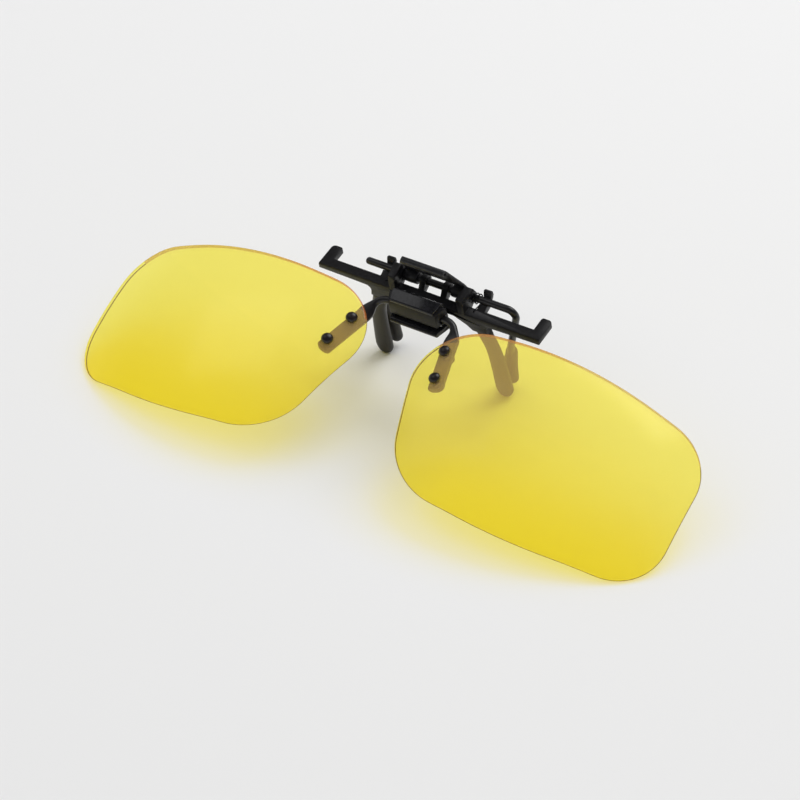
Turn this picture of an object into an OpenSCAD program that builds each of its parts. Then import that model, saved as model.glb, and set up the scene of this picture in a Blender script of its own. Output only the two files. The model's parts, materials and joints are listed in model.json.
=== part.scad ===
// Clip-on driving glasses, lenses flipped up, lying on a table as when taken off.
// X runs along the glasses, Y points back to the wearer's face, Z is up. Millimetres.
// The clip is drawn upright, with its zero on the wing's front top edge, and is then
// tipped and lifted so that its feet and the outer corners of the lenses touch the table.

/* [Lenses] */
// Width of one lens
lens_w = 60; // [52:1:68]
// Height of one lens
lens_h = 37.8; // [33:0.2:43]
// Thickness of a lens
lens_t = 0.9; // [0.8:0.05:1.4]
// Radius of the sphere that the lens front follows
lens_r = 71; // [65:1:110]
// How far the lens's brow line has dropped at its outer corner
brow_drop = 4.4; // [2:0.1:7]
// How far the nose side is cut back at the bottom of a lens
nose_cut = 12.2; // [9:0.1:14]
// How far the bottom line has risen at the outer corner
foot_rise = 2.8; // [1:0.1:5]
// Corner radius on the outer side of a lens
outer_corner_r = 10.7; // [6:0.1:13]
// Corner radius at the top of the nose side
nose_corner_r = 13; // [9:0.1:17]

/* [Lens screws] */
// Distance between the two screws of a lens
screw_pitch = 6.7; // [5.5:0.1:8]
// Distance of the screws from the nose edge of the lens
screw_in = 4.4; // [3.6:0.1:6]
// Height of the screws above the middle of the lens
screw_up = 8.6; // [5:0.1:10]
// Lean of the screw line against the lens's upright
screw_lean = -16; // [-24:1:0]
// Thread diameter of a lens screw
screw_d = 1.2; // [1:0.1:1.5]
// Diameter of the domed screw head
head_d = 2.4; // [2.1:0.1:3]
// Height of the domed screw head
head_h = 1; // [0.7:0.1:1.4]
// Thickness of the soft washer behind a lens
washer_t = 0.2; // [0.16:0.02:0.4]
// Outer diameter of the washer and of the cap nut
nut_d = 2.2; // [2:0.1:3]
// Height of a cap nut
nut_h = 0.8; // [0.7:0.1:1.6]

/* [Bridge] */
// Sideways place of the right lens's screws
tab_x = 11.5; // [10.5:0.1:13]
// How far the screws lie in front of the wing
tab_forward = 13.7; // [12.5:0.1:16]
// Height of the lens front at the screws
tab_z = 0.45; // [-0.5:0.05:1.5]
// Direction of the tab, turned from straight out to the side
tab_yaw = -75.8; // [-80:0.2:-70]
// Dip of the tab towards its end
tab_pitch = 3.3; // [0:0.1:6]
// Twist of the tab about its own length
tab_roll = 13.9; // [10:0.1:17]
// Width of the flattened tab
tab_w = 3.2; // [2.8:0.1:4]
// Thickness of the flattened tab
tab_t = 0.9; // [0.7:0.1:1.1]
// Length of tab past the outer screw
tab_end = 1.9; // [1.6:0.1:3]
// Diameter of the bridge wire
bridge_d = 1.5; // [1.2:0.1:1.6]
// How far the wire runs straight out of the block before it turns
bridge_sweep = 4; // [3:0.1:4.6]

/* [Wing bar] */
// Length of the whole wing bar
wing_w = 50.8; // [44:0.4:58]
// Depth of the wing bar, front to back
wing_depth = 2.4; // [2:0.1:3.2]
// Thickness of the wing bar at its ends
wing_t = 1.3; // [0.9:0.05:1.5]
// Thickness of the wing bar in the middle
wing_mid_t = 1.6; // [1.4:0.05:2.2]
// Width of the hook at each end
hook_w = 2.4; // [2:0.1:3]
// How far the hooks reach back past the wing bar
hook_reach = 3.25; // [2:0.05:5]

/* [Front legs] */
// Sideways place of a leg's foot
foot_x = 14.15; // [13:0.05:15.5]
// Depth of the foot's tip below the wing's top
foot_drop = 22.8; // [20:0.1:26]
// Backward lean of the front legs
leg_lean = 2.5; // [1:0.5:6]
// Thickness of a leg's soft sleeve
sleeve_t = 2; // [1.8:0.1:2.6]
// Width of the sleeve at the foot
sleeve_w = 3.9; // [3.4:0.1:4.6]
// Thickness of the leg's core inside the sleeve
core_t = 0.9; // [0.7:0.1:1.1]
// Width of the core
core_w = 1.6; // [1.2:0.1:1.9]

/* [Rear jaw] */
// Distance of the jaw axle behind the wing's front edge
axle_y = 4.1; // [4.1:0.05:4.5]
// Height of the jaw axle above the wing's top
axle_z = 0.85; // [0.75:0.05:1.2]
// Diameter of the axle and of the leg wires
wire_d = 1.5; // [1.3:0.05:1.55]
// Length of the axle from the middle to its free end
axle_free = 16.3; // [13.5:0.1:19]
// Distance from the middle to the outside of the axle's bend
axle_bend = 19.1; // [17.6:0.1:20]
// Radius of the axle wire's bend
bend_r = 1.7; // [1.4:0.1:2]
// Sideways place of the rear foot
rear_foot_x = 13.7; // [13:0.05:14.6]
// Distance of the rear feet behind the wing's front edge
rear_foot_y = 5.25; // [5:0.05:6.4]
// Depth of a rear foot's tip below the wing's top
rear_foot_drop = 22.4; // [21.5:0.1:25]
// Length of a rear foot's soft pad
pad_len = 9.5; // [8:0.5:12]
// Width of a rear foot's soft pad
pad_w = 3.5; // [3.2:0.1:4.6]
// Thickness of a rear foot's soft pad
pad_t = 2.1; // [1.9:0.1:2.2]

/* [Thumb plate] */
// Width of the thumb plate along its top lip
plate_top_w = 10; // [8:0.1:12]
// Width of the thumb plate across its ears
plate_ear_w = 14; // [13.4:0.1:14]
// Height of the thumb plate's lip above the axle, along its slope
plate_len = 9.15; // [8:0.05:10]
// Forward lean of the thumb plate
plate_lean = 26; // [22:0.5:28]
// Sheet thickness of the thumb plate
plate_t = 0.5; // [0.4:0.05:0.55]
// Radius of the bead rolled forward along the top of the thumb plate
lip_r = 0.75; // [0.65:0.05:1]

/* [Clip body walls] */
// Inner face of a cheek, from the middle
cheek_in = 7.15; // [7.05:0.05:7.2]
// Thickness of a cheek
cheek_t = 1.45; // [1.3:0.05:1.45]
// Height of the cheeks above the wing's top
cheek_top = 3.5; // [3:0.1:3.8]
// Inner face of an axle lug, from the middle
lug_in = 1.9; // [1.7:0.1:2.1]
// Thickness of an axle lug
lug_t = 1.3; // [1.1:0.1:1.4]
// Inner face of an axle saddle, from the middle
saddle_in = 10.3; // [10.3:0.1:10.8]
// Thickness of an axle saddle
saddle_t = 1.7; // [1.2:0.05:1.8]
// Thickness of the wall round an axle bore
bore_wall = 0.5; // [0.4:0.02:0.54]

/* [Flip hinge] */
// Distance of the flip axis in front of the wing
flip_forward = 1.6; // [1.55:0.05:1.8]
// Depth of the flip axis below the wing's top
flip_drop = 1.6; // [1.45:0.05:1.8]
// Diameter of the flip pin
pin_d = 1; // [0.8:0.05:1.2]
// Radius of the fixed knuckle
knuckle_r = 1.1; // [1:0.05:1.15]
// Half width of the fixed knuckle
knuckle_half = 2.8; // [2.4:0.1:3]
// Outer face of the block's hinge cheeks, from the middle
fork_out = 5; // [4.6:0.1:5.1]
// Thickness of the flat detent spring
leaf_t = 0.25; // [0.2:0.05:0.3]

/* [Front block] */
// Half width of the block's front face
block_front = 5.35; // [5:0.05:5.6]
// Half width of the block at its back
block_back = 6.5; // [6.1:0.05:6.6]
// Distance of the block's front face in front of the wing
block_forward = 5; // [4.8:0.05:5.6]
// Distance of the block's back face in front of the wing
block_rear = 2.3; // [2.2:0.05:2.4]
// Height of the cover's front edge above the wing's top
cover_front_z = 3.3; // [3:0.05:3.8]
// Slope of the cover's top
cover_slope = 15; // [8:0.5:18]
// Sheet thickness of the cover
cover_t = 0.6; // [0.4:0.05:0.7]
// Half width of the cover's front edge
cover_front = 4.9; // [4.5:0.05:5]
// Half width of the cover's rear edge
cover_rear = 5.55; // [5.2:0.05:5.7]
// Depth of the block's lower edge below the wing's top
block_skirt = 0.67; // [0.5:0.05:0.8]
// Top of the lower plate, below the wing's top
plate_drop = 1.85; // [1.8:0.05:1.95]
// Thickness of the lower plate
lower_t = 1.05; // [0.9:0.05:1.1]
// Distance of the lower plate's lip in front of the wing
lower_forward = 5.65; // [5.4:0.05:6]

/* [Closing springs] */
// Wire diameter of a closing spring
spring_d = 0.25; // [0.2:0.05:0.25]
// Inner face of a spring's coil, from the middle
spring_in = 8.66; // [8.65:0.01:8.7]
// Length of a spring's coil
spring_len = 1.56; // [1.54:0.01:1.58]
// Loops that a spring makes round the axle
spring_loops = 2; // [1:1:2]

/* [Clearances] */
// Radial clearance of a pin or axle in its bore
run_gap = 0.05; // [0.02:0.01:0.08]
// Gap between two pieces that are fastened together
seat_gap = 0.03; // [0.02:0.01:0.06]
// Sideways gap beside a moving piece
side_gap = 0.15; // [0.1:0.05:0.2]

/* [Rest on the table] */
// Backward tip of the whole clip as it lies
rest_tip = 12.4; // [10:0.1:16]

/* [Hidden] */

// Colours of the pieces
black_plastic = [0.07, 0.07, 0.075];
black_metal = [0.04, 0.04, 0.045];
black_rubber = [0.12, 0.12, 0.12];
spring_steel = [0.3, 0.3, 0.32];
yellow_tint = [0.95, 0.84, 0.2, 0.6];

// Facets of round things, of hulled balls and of the bridge's swept section
round_n = 64;
ball_n = 24;
sweep_n = 20;
// A cut runs this far past the face that it opens
past = 1;

// Derived places of the flip hinge, the jaw axle and the feet
flip_y = -flip_forward;
flip_z = -flip_drop;
axle_r = wire_d/2;
bore_r = axle_r + run_gap;
ring_r = bore_r + bore_wall;
sleeve_top = 4;
ball_r = sleeve_t/2;
foot_ball = [0, ball_r*cos(leg_lean) + (foot_drop - ball_r)*sin(leg_lean),
    ball_r*sin(leg_lean) - (foot_drop - ball_r)*cos(leg_lean)];

// Turns a point by roll about X, then pitch about Y, then yaw about Z
function about_x(p, a) = [p[0], p[1]*cos(a) - p[2]*sin(a), p[1]*sin(a) + p[2]*cos(a)];
function about_y(p, a) = [p[0]*cos(a) + p[2]*sin(a), p[1], p[2]*cos(a) - p[0]*sin(a)];
function about_z(p, a) = [p[0]*cos(a) - p[1]*sin(a), p[0]*sin(a) + p[1]*cos(a), p[2]];
function tab_turn(p) = about_z(about_y(about_x(p, tab_roll), tab_pitch), tab_yaw);
function tab_point(p) = tab_turn(p) + [tab_x, -tab_forward, tab_z];
function tipped(p) = about_x(p, rest_tip);
function unit(v) = v/norm(v);
function blend(a, b, t) = a*(1 - t) + b*t;
function smooth(t) = t*t*(3 - 2*t);
function clamp01(t) = min(1, max(0, t));

// Arc of n+1 points that rounds the corner p between its neighbours a and b
function corner_arc(a, p, b, r, n) =
    let(ea = unit(a - p), eb = unit(b - p),
        half = acos(ea*eb)/2,
        reach = min(r/tan(half), 0.49*norm(a - p), 0.49*norm(b - p)),
        rr = reach*tan(half),
        c = p + unit(ea + eb)*rr/sin(half),
        from = p + ea*reach - c, to = p + eb*reach - c,
        a0 = atan2(from[1], from[0]), raw = atan2(to[1], to[0]) - a0,
        turn = raw > 180 ? raw - 360 : raw < -180 ? raw + 360 : raw)
    [for (i = [0:n]) c + rr*[cos(a0 + turn*i/n), sin(a0 + turn*i/n)]];

// Outline with rounded corners: each corner is [x, y, radius]
function rounded(corners, n) =
    let(m = len(corners))
    [for (i = [0:m - 1])
        let(a = corners[(i + m - 1) % m], p = corners[i], b = corners[(i + 1) % m])
        each corner_arc([a[0], a[1]], [p[0], p[1]], [b[0], b[1]], p[2], n)];

// A wire's straight run between two points, with round ends where asked
module run(a, b, d) {
    way = b - a;
    length = norm(way);
    translate(a)
        rotate([0, acos(way[2]/length), atan2(way[1], way[0])])
            cylinder(h = length, d = d, $fn = round_n);
}

module knob(p, d) {
    translate(p) sphere(d = d, $fn = round_n);
}

// Profile in the Y-Z plane, extruded along X from one place to another
module across(x0, x1) {
    translate([x0, 0, 0])
        rotate([90, 0, 90])
            linear_extrude(height = x1 - x0) children();
}

// Round bar or bore along X
module bar_x(y, z, r, x0, x1) {
    translate([x0, y, z]) rotate([0, 90, 0]) cylinder(h = x1 - x0, r = r, $fn = round_n);
}

module both_sides() {
    children();
    mirror([1, 0, 0]) children();
}

module on_side(side) {
    if (side < 0) mirror([1, 0, 0]) children();
    else children();
}

// Tips the upright clip back and sets its feet on the table
module on_table() {
    translate([0, middle_forward, lift]) rotate([rest_tip, 0, 0]) children();
}

// Frame of the right tab: X along the tab, Z out of the lens front, zero between the screws
module at_tab() {
    translate([tab_x, -tab_forward, tab_z]) rotate([tab_roll, tab_pitch, tab_yaw]) children();
}

module at_screws() {
    for (s = [-1, 1]) at_tab() translate([s*screw_pitch/2, 0, 0]) children();
}

// Frame of the right lens: zero at the sphere's centre, X out to the side, Y up the lens
screw_u = lens_w/2 - screw_in;
screw_depth = sqrt(lens_r*lens_r - screw_u*screw_u - screw_up*screw_up);
module at_lens() {
    at_tab() translate([0, 0, -lens_r])
        rotate([0, 0, 90 + screw_lean])
            rotate([asin(screw_up/lens_r), 0, 0])
                rotate([0, atan2(screw_u, screw_depth), 0]) children();
}

// The lens outline, seen from the front, with its middle at zero
half_w = lens_w/2;
half_h = lens_h/2;
lens_corners = [
    [half_w, half_h - brow_drop, outer_corner_r],
    [1.3, half_h + 0.5, 140],
    [-half_w - 4.1, half_h - 0.95, nose_corner_r],
    [-half_w + 0.4*nose_cut, -half_h + 7, 60],
    [-half_w + nose_cut, -half_h + 1.4, 17],
    [1.9, -half_h - 0.6, 100],
    [half_w, -half_h + foot_rise, outer_corner_r]];

// The lens's edge as it lies, front and back, and the places that follow from it
function lens_turn(p) = about_z(about_x(about_y(p, atan2(screw_u, screw_depth)),
    asin(screw_up/lens_r)), 90 + screw_lean) - [0, 0, lens_r];
lens_edge = [for (c = rounded(lens_corners, 9), r = [lens_r, lens_r - lens_t])
    tipped(tab_point(lens_turn([c[0], c[1], sqrt(r*r - c[0]*c[0] - c[1]*c[1])])))];
rear_ball = tipped([0, rear_foot_y, pad_t/2 - rear_foot_drop]);
lift = max(ball_r - tipped(foot_ball)[2], pad_t/2 - rear_ball[2],
    -min([for (q = lens_edge) q[2]]));
footprint_front = min([for (q = lens_edge) q[1]]);
footprint_back = rear_ball[1] + pad_t/2;
middle_forward = -(footprint_front + footprint_back)/2;

module lens(side) {
    color(yellow_tint) on_table() on_side(side) difference() {
        at_lens() intersection() {
            difference() {
                sphere(r = lens_r, $fn = 180);
                sphere(r = lens_r - lens_t, $fn = 180);
            }
            translate([0, 0, lens_r - 20])
                linear_extrude(height = 22) polygon(rounded(lens_corners, 9));
        }
        at_screws() translate([0, 0, -2*lens_t])
            cylinder(h = 4*lens_t, d = screw_d + 0.2, $fn = round_n);
    }
}
module left_lens() { lens(-1); }
module right_lens() { lens(1); }

// Depths behind the lens front, in the tab's frame. The lens curves away from the flat tab.
lens_back_r = lens_r - lens_t;
screw_sag = pow(screw_pitch/2, 2)/(2*lens_back_r);
washer_tilt = nut_d/2*(screw_pitch/2)/lens_back_r;
washer_top = -lens_t - screw_sag - washer_tilt - seat_gap;
tab_top = washer_top - washer_t;
tab_bottom = tab_top - tab_t;

module lens_screws(side) {
    color(black_metal) on_table() on_side(side) at_screws() {
        dome_r = (pow(head_d/2, 2) + pow(head_h, 2))/(2*head_h);
        translate([0, 0, seat_gap]) intersection() {
            translate([0, 0, head_h - dome_r]) sphere(r = dome_r, $fn = round_n);
            cylinder(h = head_h + past, r = head_d, $fn = round_n);
        }
        translate([0, 0, tab_bottom - nut_h + 0.3])
            cylinder(h = seat_gap + past*0.2 - tab_bottom + nut_h - 0.3, d = screw_d, $fn = round_n);
    }
}
module left_lens_screws() { lens_screws(-1); }
module right_lens_screws() { lens_screws(1); }

module washers(side) {
    color("dimgray") on_table() on_side(side) at_screws()
        translate([0, 0, tab_top + seat_gap]) difference() {
            cylinder(h = washer_t - seat_gap, d = nut_d, $fn = round_n);
            translate([0, 0, -past]) cylinder(h = washer_t + 2*past, r = screw_d/2 + run_gap, $fn = round_n);
        }
}
module left_washers() { washers(-1); }
module right_washers() { washers(1); }

// Cap nut: a round nut with a domed end over the end of the screw
module cap_nuts(side) {
    color(black_metal) on_table() on_side(side) at_screws()
        translate([0, 0, tab_bottom - seat_gap]) mirror([0, 0, 1]) difference() {
            union() {
                cylinder(h = nut_h/2, d = nut_d, $fn = round_n);
                translate([0, 0, nut_h/2]) intersection() {
                    scale(nut_d/2) sphere(r = 1, $fn = round_n);
                    cylinder(h = nut_h/2, d = nut_d, $fn = round_n);
                }
            }
            translate([0, 0, -past])
                cylinder(h = nut_h - 0.25 + past, r = screw_d/2 + run_gap, $fn = round_n);
        }
}
module left_cap_nuts() { cap_nuts(-1); }
module right_cap_nuts() { cap_nuts(1); }

// The tab lies a little off the line of the screws, most at its inner end
tab_skew = 1.6;
tab_off = -0.3;
function laid(p) = about_z(p - [screw_pitch/2, 0, 0], tab_skew) + [screw_pitch/2, tab_off + 0.1, 0];

// The bridge wire runs straight through the block, sweeps out and forward on each side,
// and is hammered flat into the tab that carries a lens
bridge_y = -3.15;
bridge_z = 0.5;
sweep_start = [block_back - 0.7, bridge_y, bridge_z];
tab_start = -screw_pitch/2 - 2.6;
sweep_end = tab_point(laid([tab_start + 0.4, 0, tab_bottom + tab_t/2]));
tab_way = tab_turn(about_z([1, 0, 0], tab_skew));
sweep_out = sweep_start + [bridge_sweep, 0, 0];
sweep_in = sweep_end - tab_way*2.6;

function sweep_at(t) = pow(1 - t, 3)*sweep_start + 3*pow(1 - t, 2)*t*sweep_out
    + 3*(1 - t)*t*t*sweep_in + pow(t, 3)*sweep_end;
function sweep_way(t) = unit(3*pow(1 - t, 2)*(sweep_out - sweep_start)
    + 6*(1 - t)*t*(sweep_in - sweep_out) + 3*t*t*(sweep_end - sweep_in));

// Ring of sweep_n points: a circle where flat is 0, a rounded rectangle where it is 1
function section(at, side, up, w, h, flat) =
    let(corner = min(0.3, 0.8*w, 0.8*h), grow = 1/cos(180/sweep_n))
    [for (i = [0:sweep_n - 1])
        let(a = 360*(i + 0.5)/sweep_n,
            u = blend(w*cos(a), sign(cos(a))*(w - corner) + corner*grow*cos(a), flat),
            v = blend(h*sin(a), sign(sin(a))*(h - corner) + corner*grow*sin(a), flat))
        at + side*u + up*v];

// One ring of the sweep, in which the wire flattens
function sweep_ring(t) =
    let(flat = smooth(clamp01((t - 0.4)/0.45)),
        way = sweep_way(t),
        up0 = blend([0, 0, 1], tab_turn([0, 0, 1]), smooth(t)),
        side = unit(cross(way, up0)), up = cross(side, way))
    section(sweep_at(t), side, up, blend(bridge_d, tab_w, flat)/2,
        blend(bridge_d, tab_t, flat)/2, flat);

// One ring of the flat tab, whose end is an arc wider than the tab
tab_tip = screw_pitch/2 + tab_end;
tab_round = 0.75*tab_w;
function tab_ring(x) =
    let(over = max(0, x - tab_tip + tab_round),
        w = min(tab_w/2, sqrt(max(0.01, tab_round*tab_round - over*over))),
        at = tab_point(laid([x, 0, tab_bottom + tab_t/2])),
        up = tab_turn([0, 0, 1]), side = unit(cross(tab_way, up)))
    section(at, side, up, w, tab_t/2, 1);
tab_stops = [tab_start + 1.2, tab_tip - 0.66*tab_round, tab_tip - 0.45*tab_round,
    tab_tip - 0.25*tab_round, tab_tip - 0.1*tab_round, tab_tip - 0.02*tab_round];
sweep_steps = 14;
bridge_side = concat([for (k = [0:sweep_steps]) sweep_ring(k/sweep_steps)],
    [for (x = tab_stops) tab_ring(x)]);
function mirrored(ring) = [for (q = ring) [-q[0], q[1], q[2]]];
bridge_rings = concat([for (k = [len(bridge_side) - 1:-1:0]) mirrored(bridge_side[k])], bridge_side);

// Closed skin over a list of rings of n points each
module skin(rings, n) {
    m = len(rings);
    sides = [for (k = [0:m - 2], i = [0:n - 1])
        each [[k*n + i, k*n + (i + 1) % n, (k + 1)*n + (i + 1) % n],
              [k*n + i, (k + 1)*n + (i + 1) % n, (k + 1)*n + i]]];
    first = [for (i = [1:n - 2]) [0, i + 1, i]];
    last = [for (i = [1:n - 2]) [(m - 1)*n, (m - 1)*n + i, (m - 1)*n + i + 1]];
    polyhedron([for (r = rings) each r], concat(sides, first, last));
}

module bridge_wire() {
    color(black_metal) on_table() difference() {
        skin(bridge_rings, sweep_n);
        both_sides() at_screws() translate([0, 0, tab_bottom - past])
            cylinder(h = tab_t + 2*past, r = screw_d/2 + run_gap, $fn = round_n);
    }
}

// Plan of the block's sides: it widens from its front face to its back
module plan(front_y, front_half, rear_y, rear_half, z0, z1) {
    translate([0, 0, z0]) linear_extrude(height = z1 - z0)
        polygon([[-front_half, front_y], [front_half, front_y],
            [rear_half, rear_y], [-rear_half, rear_y]]);
}

// Height of the cover's underside at a distance y
function cover_under(y) = cover_front_z + (y + block_forward + 0.1)*tan(cover_slope)
    - cover_t/cos(cover_slope);
fork_r = knuckle_r + 0.25;
module hinge_block() {
    color(black_plastic) on_table() difference() {
        union() {
            intersection() {
                across(-10, 10) polygon([
                    [-block_forward, -block_skirt],
                    [-block_forward, cover_under(-block_forward) - seat_gap],
                    [-block_rear - 0.45, cover_under(-block_rear - 0.45) - seat_gap],
                    [-block_rear, cover_under(-block_rear - 0.45) - 0.45],
                    [-block_rear, -block_skirt]]);
                plan(-block_forward, block_front, -block_rear, block_back, -5, 5);
            }
            // Recessed foot behind the groove, which meets the lower plate
            across(-fork_out, fork_out) polygon([
                [-block_forward + 0.8, -plate_drop + seat_gap],
                [-block_forward + 0.8, -block_skirt + 0.2],
                [-block_rear, -block_skirt + 0.2],
                [-block_rear + 0.4, -block_skirt],
                [flip_y + 0.9*fork_r, flip_z],
                [flip_y - fork_r, flip_z - 0.1]]);
            bar_x(flip_y, flip_z, fork_r, -fork_out, fork_out);
        }
        // Room for the fixed knuckle and its neck over the whole swing
        both_sides() bar_x(flip_y, flip_z, knuckle_r + side_gap, -past, knuckle_half + side_gap);
        both_sides() across(-past, knuckle_half + side_gap) polygon([
            [flip_y - 0.9, flip_z - 3], [flip_y - 0.9, flip_z],
            [flip_y - 0.5, flip_z + 1.5], [flip_y + 3, flip_z + 3], [flip_y + 3, flip_z - 3]]);
        // Slot for the flat detent spring
        across(-knuckle_half - side_gap, knuckle_half + side_gap) polygon([
            [leaf_y - leaf_t - 0.2, leaf_low - 0.1], [leaf_y - leaf_t - 0.2, leaf_high + 0.1],
            [flip_y, leaf_high + 0.1], [flip_y, leaf_low - 0.1]]);
        bar_x(flip_y, flip_z, pin_d/2 + run_gap, -fork_out - past, fork_out + past);
        // Slot for the bridge wire, laid in from the back
        bar_x(bridge_y, bridge_z, bridge_d/2 + seat_gap, -10, 10);
        both_sides() bar_x(bridge_y - 0.15, bridge_z, bridge_d/2 + 0.15, sweep_start[0] - 0.3, 10);
        across(-10, 10) translate([bridge_y, bridge_z - bridge_d/2 - seat_gap])
            square([5, bridge_d + 2*seat_gap]);
        // Blind holes for the rivets of the lower plate
        for (s = [-1, 1]) translate([s*rivet_x, rivet_y, -plate_drop - past])
            cylinder(h = rivet_grip + past + 0.1, r = rivet_d/2 + seat_gap, $fn = round_n);
    }
}

// Flat detent spring, lying against the knuckle's front flat
leaf_y = flip_y - knuckle_r - run_gap;
leaf_low = flip_z - 0.15;
leaf_high = flip_z + 1.15;
module detent_spring() {
    color(spring_steel) on_table() across(-knuckle_half, knuckle_half) polygon([
        [leaf_y - leaf_t, leaf_low], [leaf_y, leaf_low],
        [leaf_y, leaf_high - 0.5], [leaf_y - 0.1, leaf_high], [leaf_y - leaf_t - 0.1, leaf_high]]);
}

module flip_pin() {
    color(spring_steel) on_table()
        bar_x(flip_y, flip_z, pin_d/2, -fork_out, fork_out);
}

// Pressed cover over the block's top and back
module block_cover() {
    top_rear = block_rear + 0.28;
    rear_z = cover_front_z + (block_forward + 0.1 - top_rear)*tan(cover_slope);
    wall_foot = -block_skirt + 0.55;
    color(black_metal) on_table() intersection() {
        across(-10, 10) polygon([
            [-block_forward - 0.1, cover_under(-block_forward - 0.1)],
            [-block_forward - 0.1, cover_front_z - 0.15],
            [-block_forward + 0.1, cover_front_z + 0.05],
            [-top_rear, rear_z],
            [-block_rear + 0.4, rear_z - 0.55],
            [-block_rear + 0.55, wall_foot],
            [-block_rear + seat_gap, wall_foot],
            [-block_rear + seat_gap, cover_under(-block_rear - 0.45) - 0.45 + seat_gap],
            [-block_rear - 0.45, cover_under(-block_rear - 0.45)]]);
        plan(-block_forward - 0.1, cover_front, -block_rear + 0.6, cover_rear + 0.1, -5, 8);
    }
}

// Lower plate: a lip in front, and two arms that run back outside the hinge cheeks
rivet_d = 0.9;
rivet_x = 4.2;
rivet_y = -block_forward + 1.35;
rivet_grip = 0.8;
module lower_plate() {
    low = -plate_drop - lower_t;
    color(black_metal) on_table() difference() {
        intersection() {
            across(-10, 10) polygon([
                [-lower_forward, low + 0.35], [-lower_forward + 0.25, low],
                [flip_y - 0.3, low], [flip_y - 0.3, -plate_drop],
                [-lower_forward + 0.45, -plate_drop], [-lower_forward, -plate_drop - 0.35]]);
            plan(-lower_forward, block_front - 0.05, flip_y - 0.3, block_back - 0.1, -5, 5);
        }
        across(-fork_out - side_gap, fork_out + side_gap)
            translate([flip_y - fork_r - side_gap, low - past]) square([5, lower_t + 2*past]);
        for (s = [-1, 1]) translate([s*rivet_x, rivet_y, low - past])
            cylinder(h = lower_t + 2*past, r = rivet_d/2 + seat_gap, $fn = round_n);
    }
}

module plate_rivets() {
    low = -plate_drop - lower_t;
    color(black_metal) on_table() for (s = [-1, 1]) translate([s*rivet_x, rivet_y, low]) {
        cylinder(h = lower_t + rivet_grip, d = rivet_d, $fn = round_n);
        translate([0, 0, -0.25 - seat_gap]) cylinder(h = 0.25, d = 1.7*rivet_d, $fn = round_n);
        translate([0, 0, -2*seat_gap]) cylinder(h = 3*seat_gap, d = rivet_d, $fn = round_n);
    }
}

// One half of the wing bar and the root of its leg, seen from the front
leg_root_x = 11.8;
module wing_front() {
    half = wing_w/2;
    polygon(concat(
        [[-0.01, 0], [half, 0], [half, -wing_t], [17.5, -wing_t - 0.15]],
        corner_arc([17.5, -wing_t - 0.15], [13.15, -wing_mid_t], [13.5, -sleeve_top], 1.5, 8),
        [[13.5, -sleeve_top], [10.1, -sleeve_top]],
        corner_arc([10.1, -sleeve_top], [8.6, -2.8], [6, -wing_mid_t - 0.2], 2.5, 6),
        [[6, -wing_mid_t], [-0.01, -wing_mid_t]]));
}

// Bar of the wing's depth with small bevels along its four long edges
module bevelled_bar(x0, x1, depth, z0, z1, bevel) {
    across(x0, x1) polygon([[bevel, z0], [depth - bevel, z0], [depth, z0 + bevel],
        [depth, z1 - bevel], [depth - bevel, z1], [bevel, z1], [0, z1 - bevel], [0, z0 + bevel]]);
}

module upright(y0, y1) {
    translate([0, y1, 0]) rotate([90, 0, 0]) linear_extrude(height = y1 - y0) children();
}

module clip_body() {
    bevel = 0.2;
    half = wing_w/2;
    hook_back = wing_depth + hook_reach;
    color(black_plastic) on_table() difference() {
        union() {
            both_sides() {
                intersection() {
                    upright(0, wing_depth) wing_front();
                    bevelled_bar(-past, half, wing_depth, -sleeve_top - 1, 0, bevel);
                }
                // Hook at the end of the wing, with a round back corner
                translate([0, 0, -wing_t]) linear_extrude(height = wing_t)
                    polygon(concat([[half, 0.3], [half, wing_depth]],
                        corner_arc([half, 0], [half, hook_back], [half - hook_w, hook_back], 0.9, 8),
                        corner_arc([half, hook_back], [half - hook_w, hook_back],
                            [half - hook_w, 0], 0.5, 6),
                        [[half - hook_w, wing_depth - 0.3], [half - hook_w, 0.3]]));
                leg_core();
                cheek();
                axle_lug();
                axle_saddle();
            }
            // Fixed knuckle of the flip hinge and its neck
            across(-knuckle_half, knuckle_half) polygon([
                [0.3, -0.15], [0.3, -wing_mid_t], [flip_y + 0.2, flip_z - 0.6],
                [flip_y, flip_z], [flip_y + 0.3, flip_z + 0.9]]);
            knuckle();
        }
        bar_x(axle_y, axle_z, bore_r, -saddle_in - saddle_t - past, saddle_in + saddle_t + past);
        bar_x(flip_y, flip_z, pin_d/2 + run_gap, -knuckle_half - past, knuckle_half + past);
        // The saddles are open at the top, so the axle can be laid in
        both_sides() translate([saddle_in - past, axle_y - bore_r, axle_z])
            cube([saddle_t + 2*past, 2*bore_r - 0.15, 5]);
    }
}

// Knuckle with a flat for each of the two stops
module knuckle() {
    flat = knuckle_r - 0.05;
    intersection() {
        bar_x(flip_y, flip_z, knuckle_r, -knuckle_half, knuckle_half);
        across(-knuckle_half, knuckle_half) translate([flip_y, flip_z]) intersection() {
            translate([-flat, -5]) square(10);
            rotate(76) translate([-flat, -5]) square(10);
        }
    }
}

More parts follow.
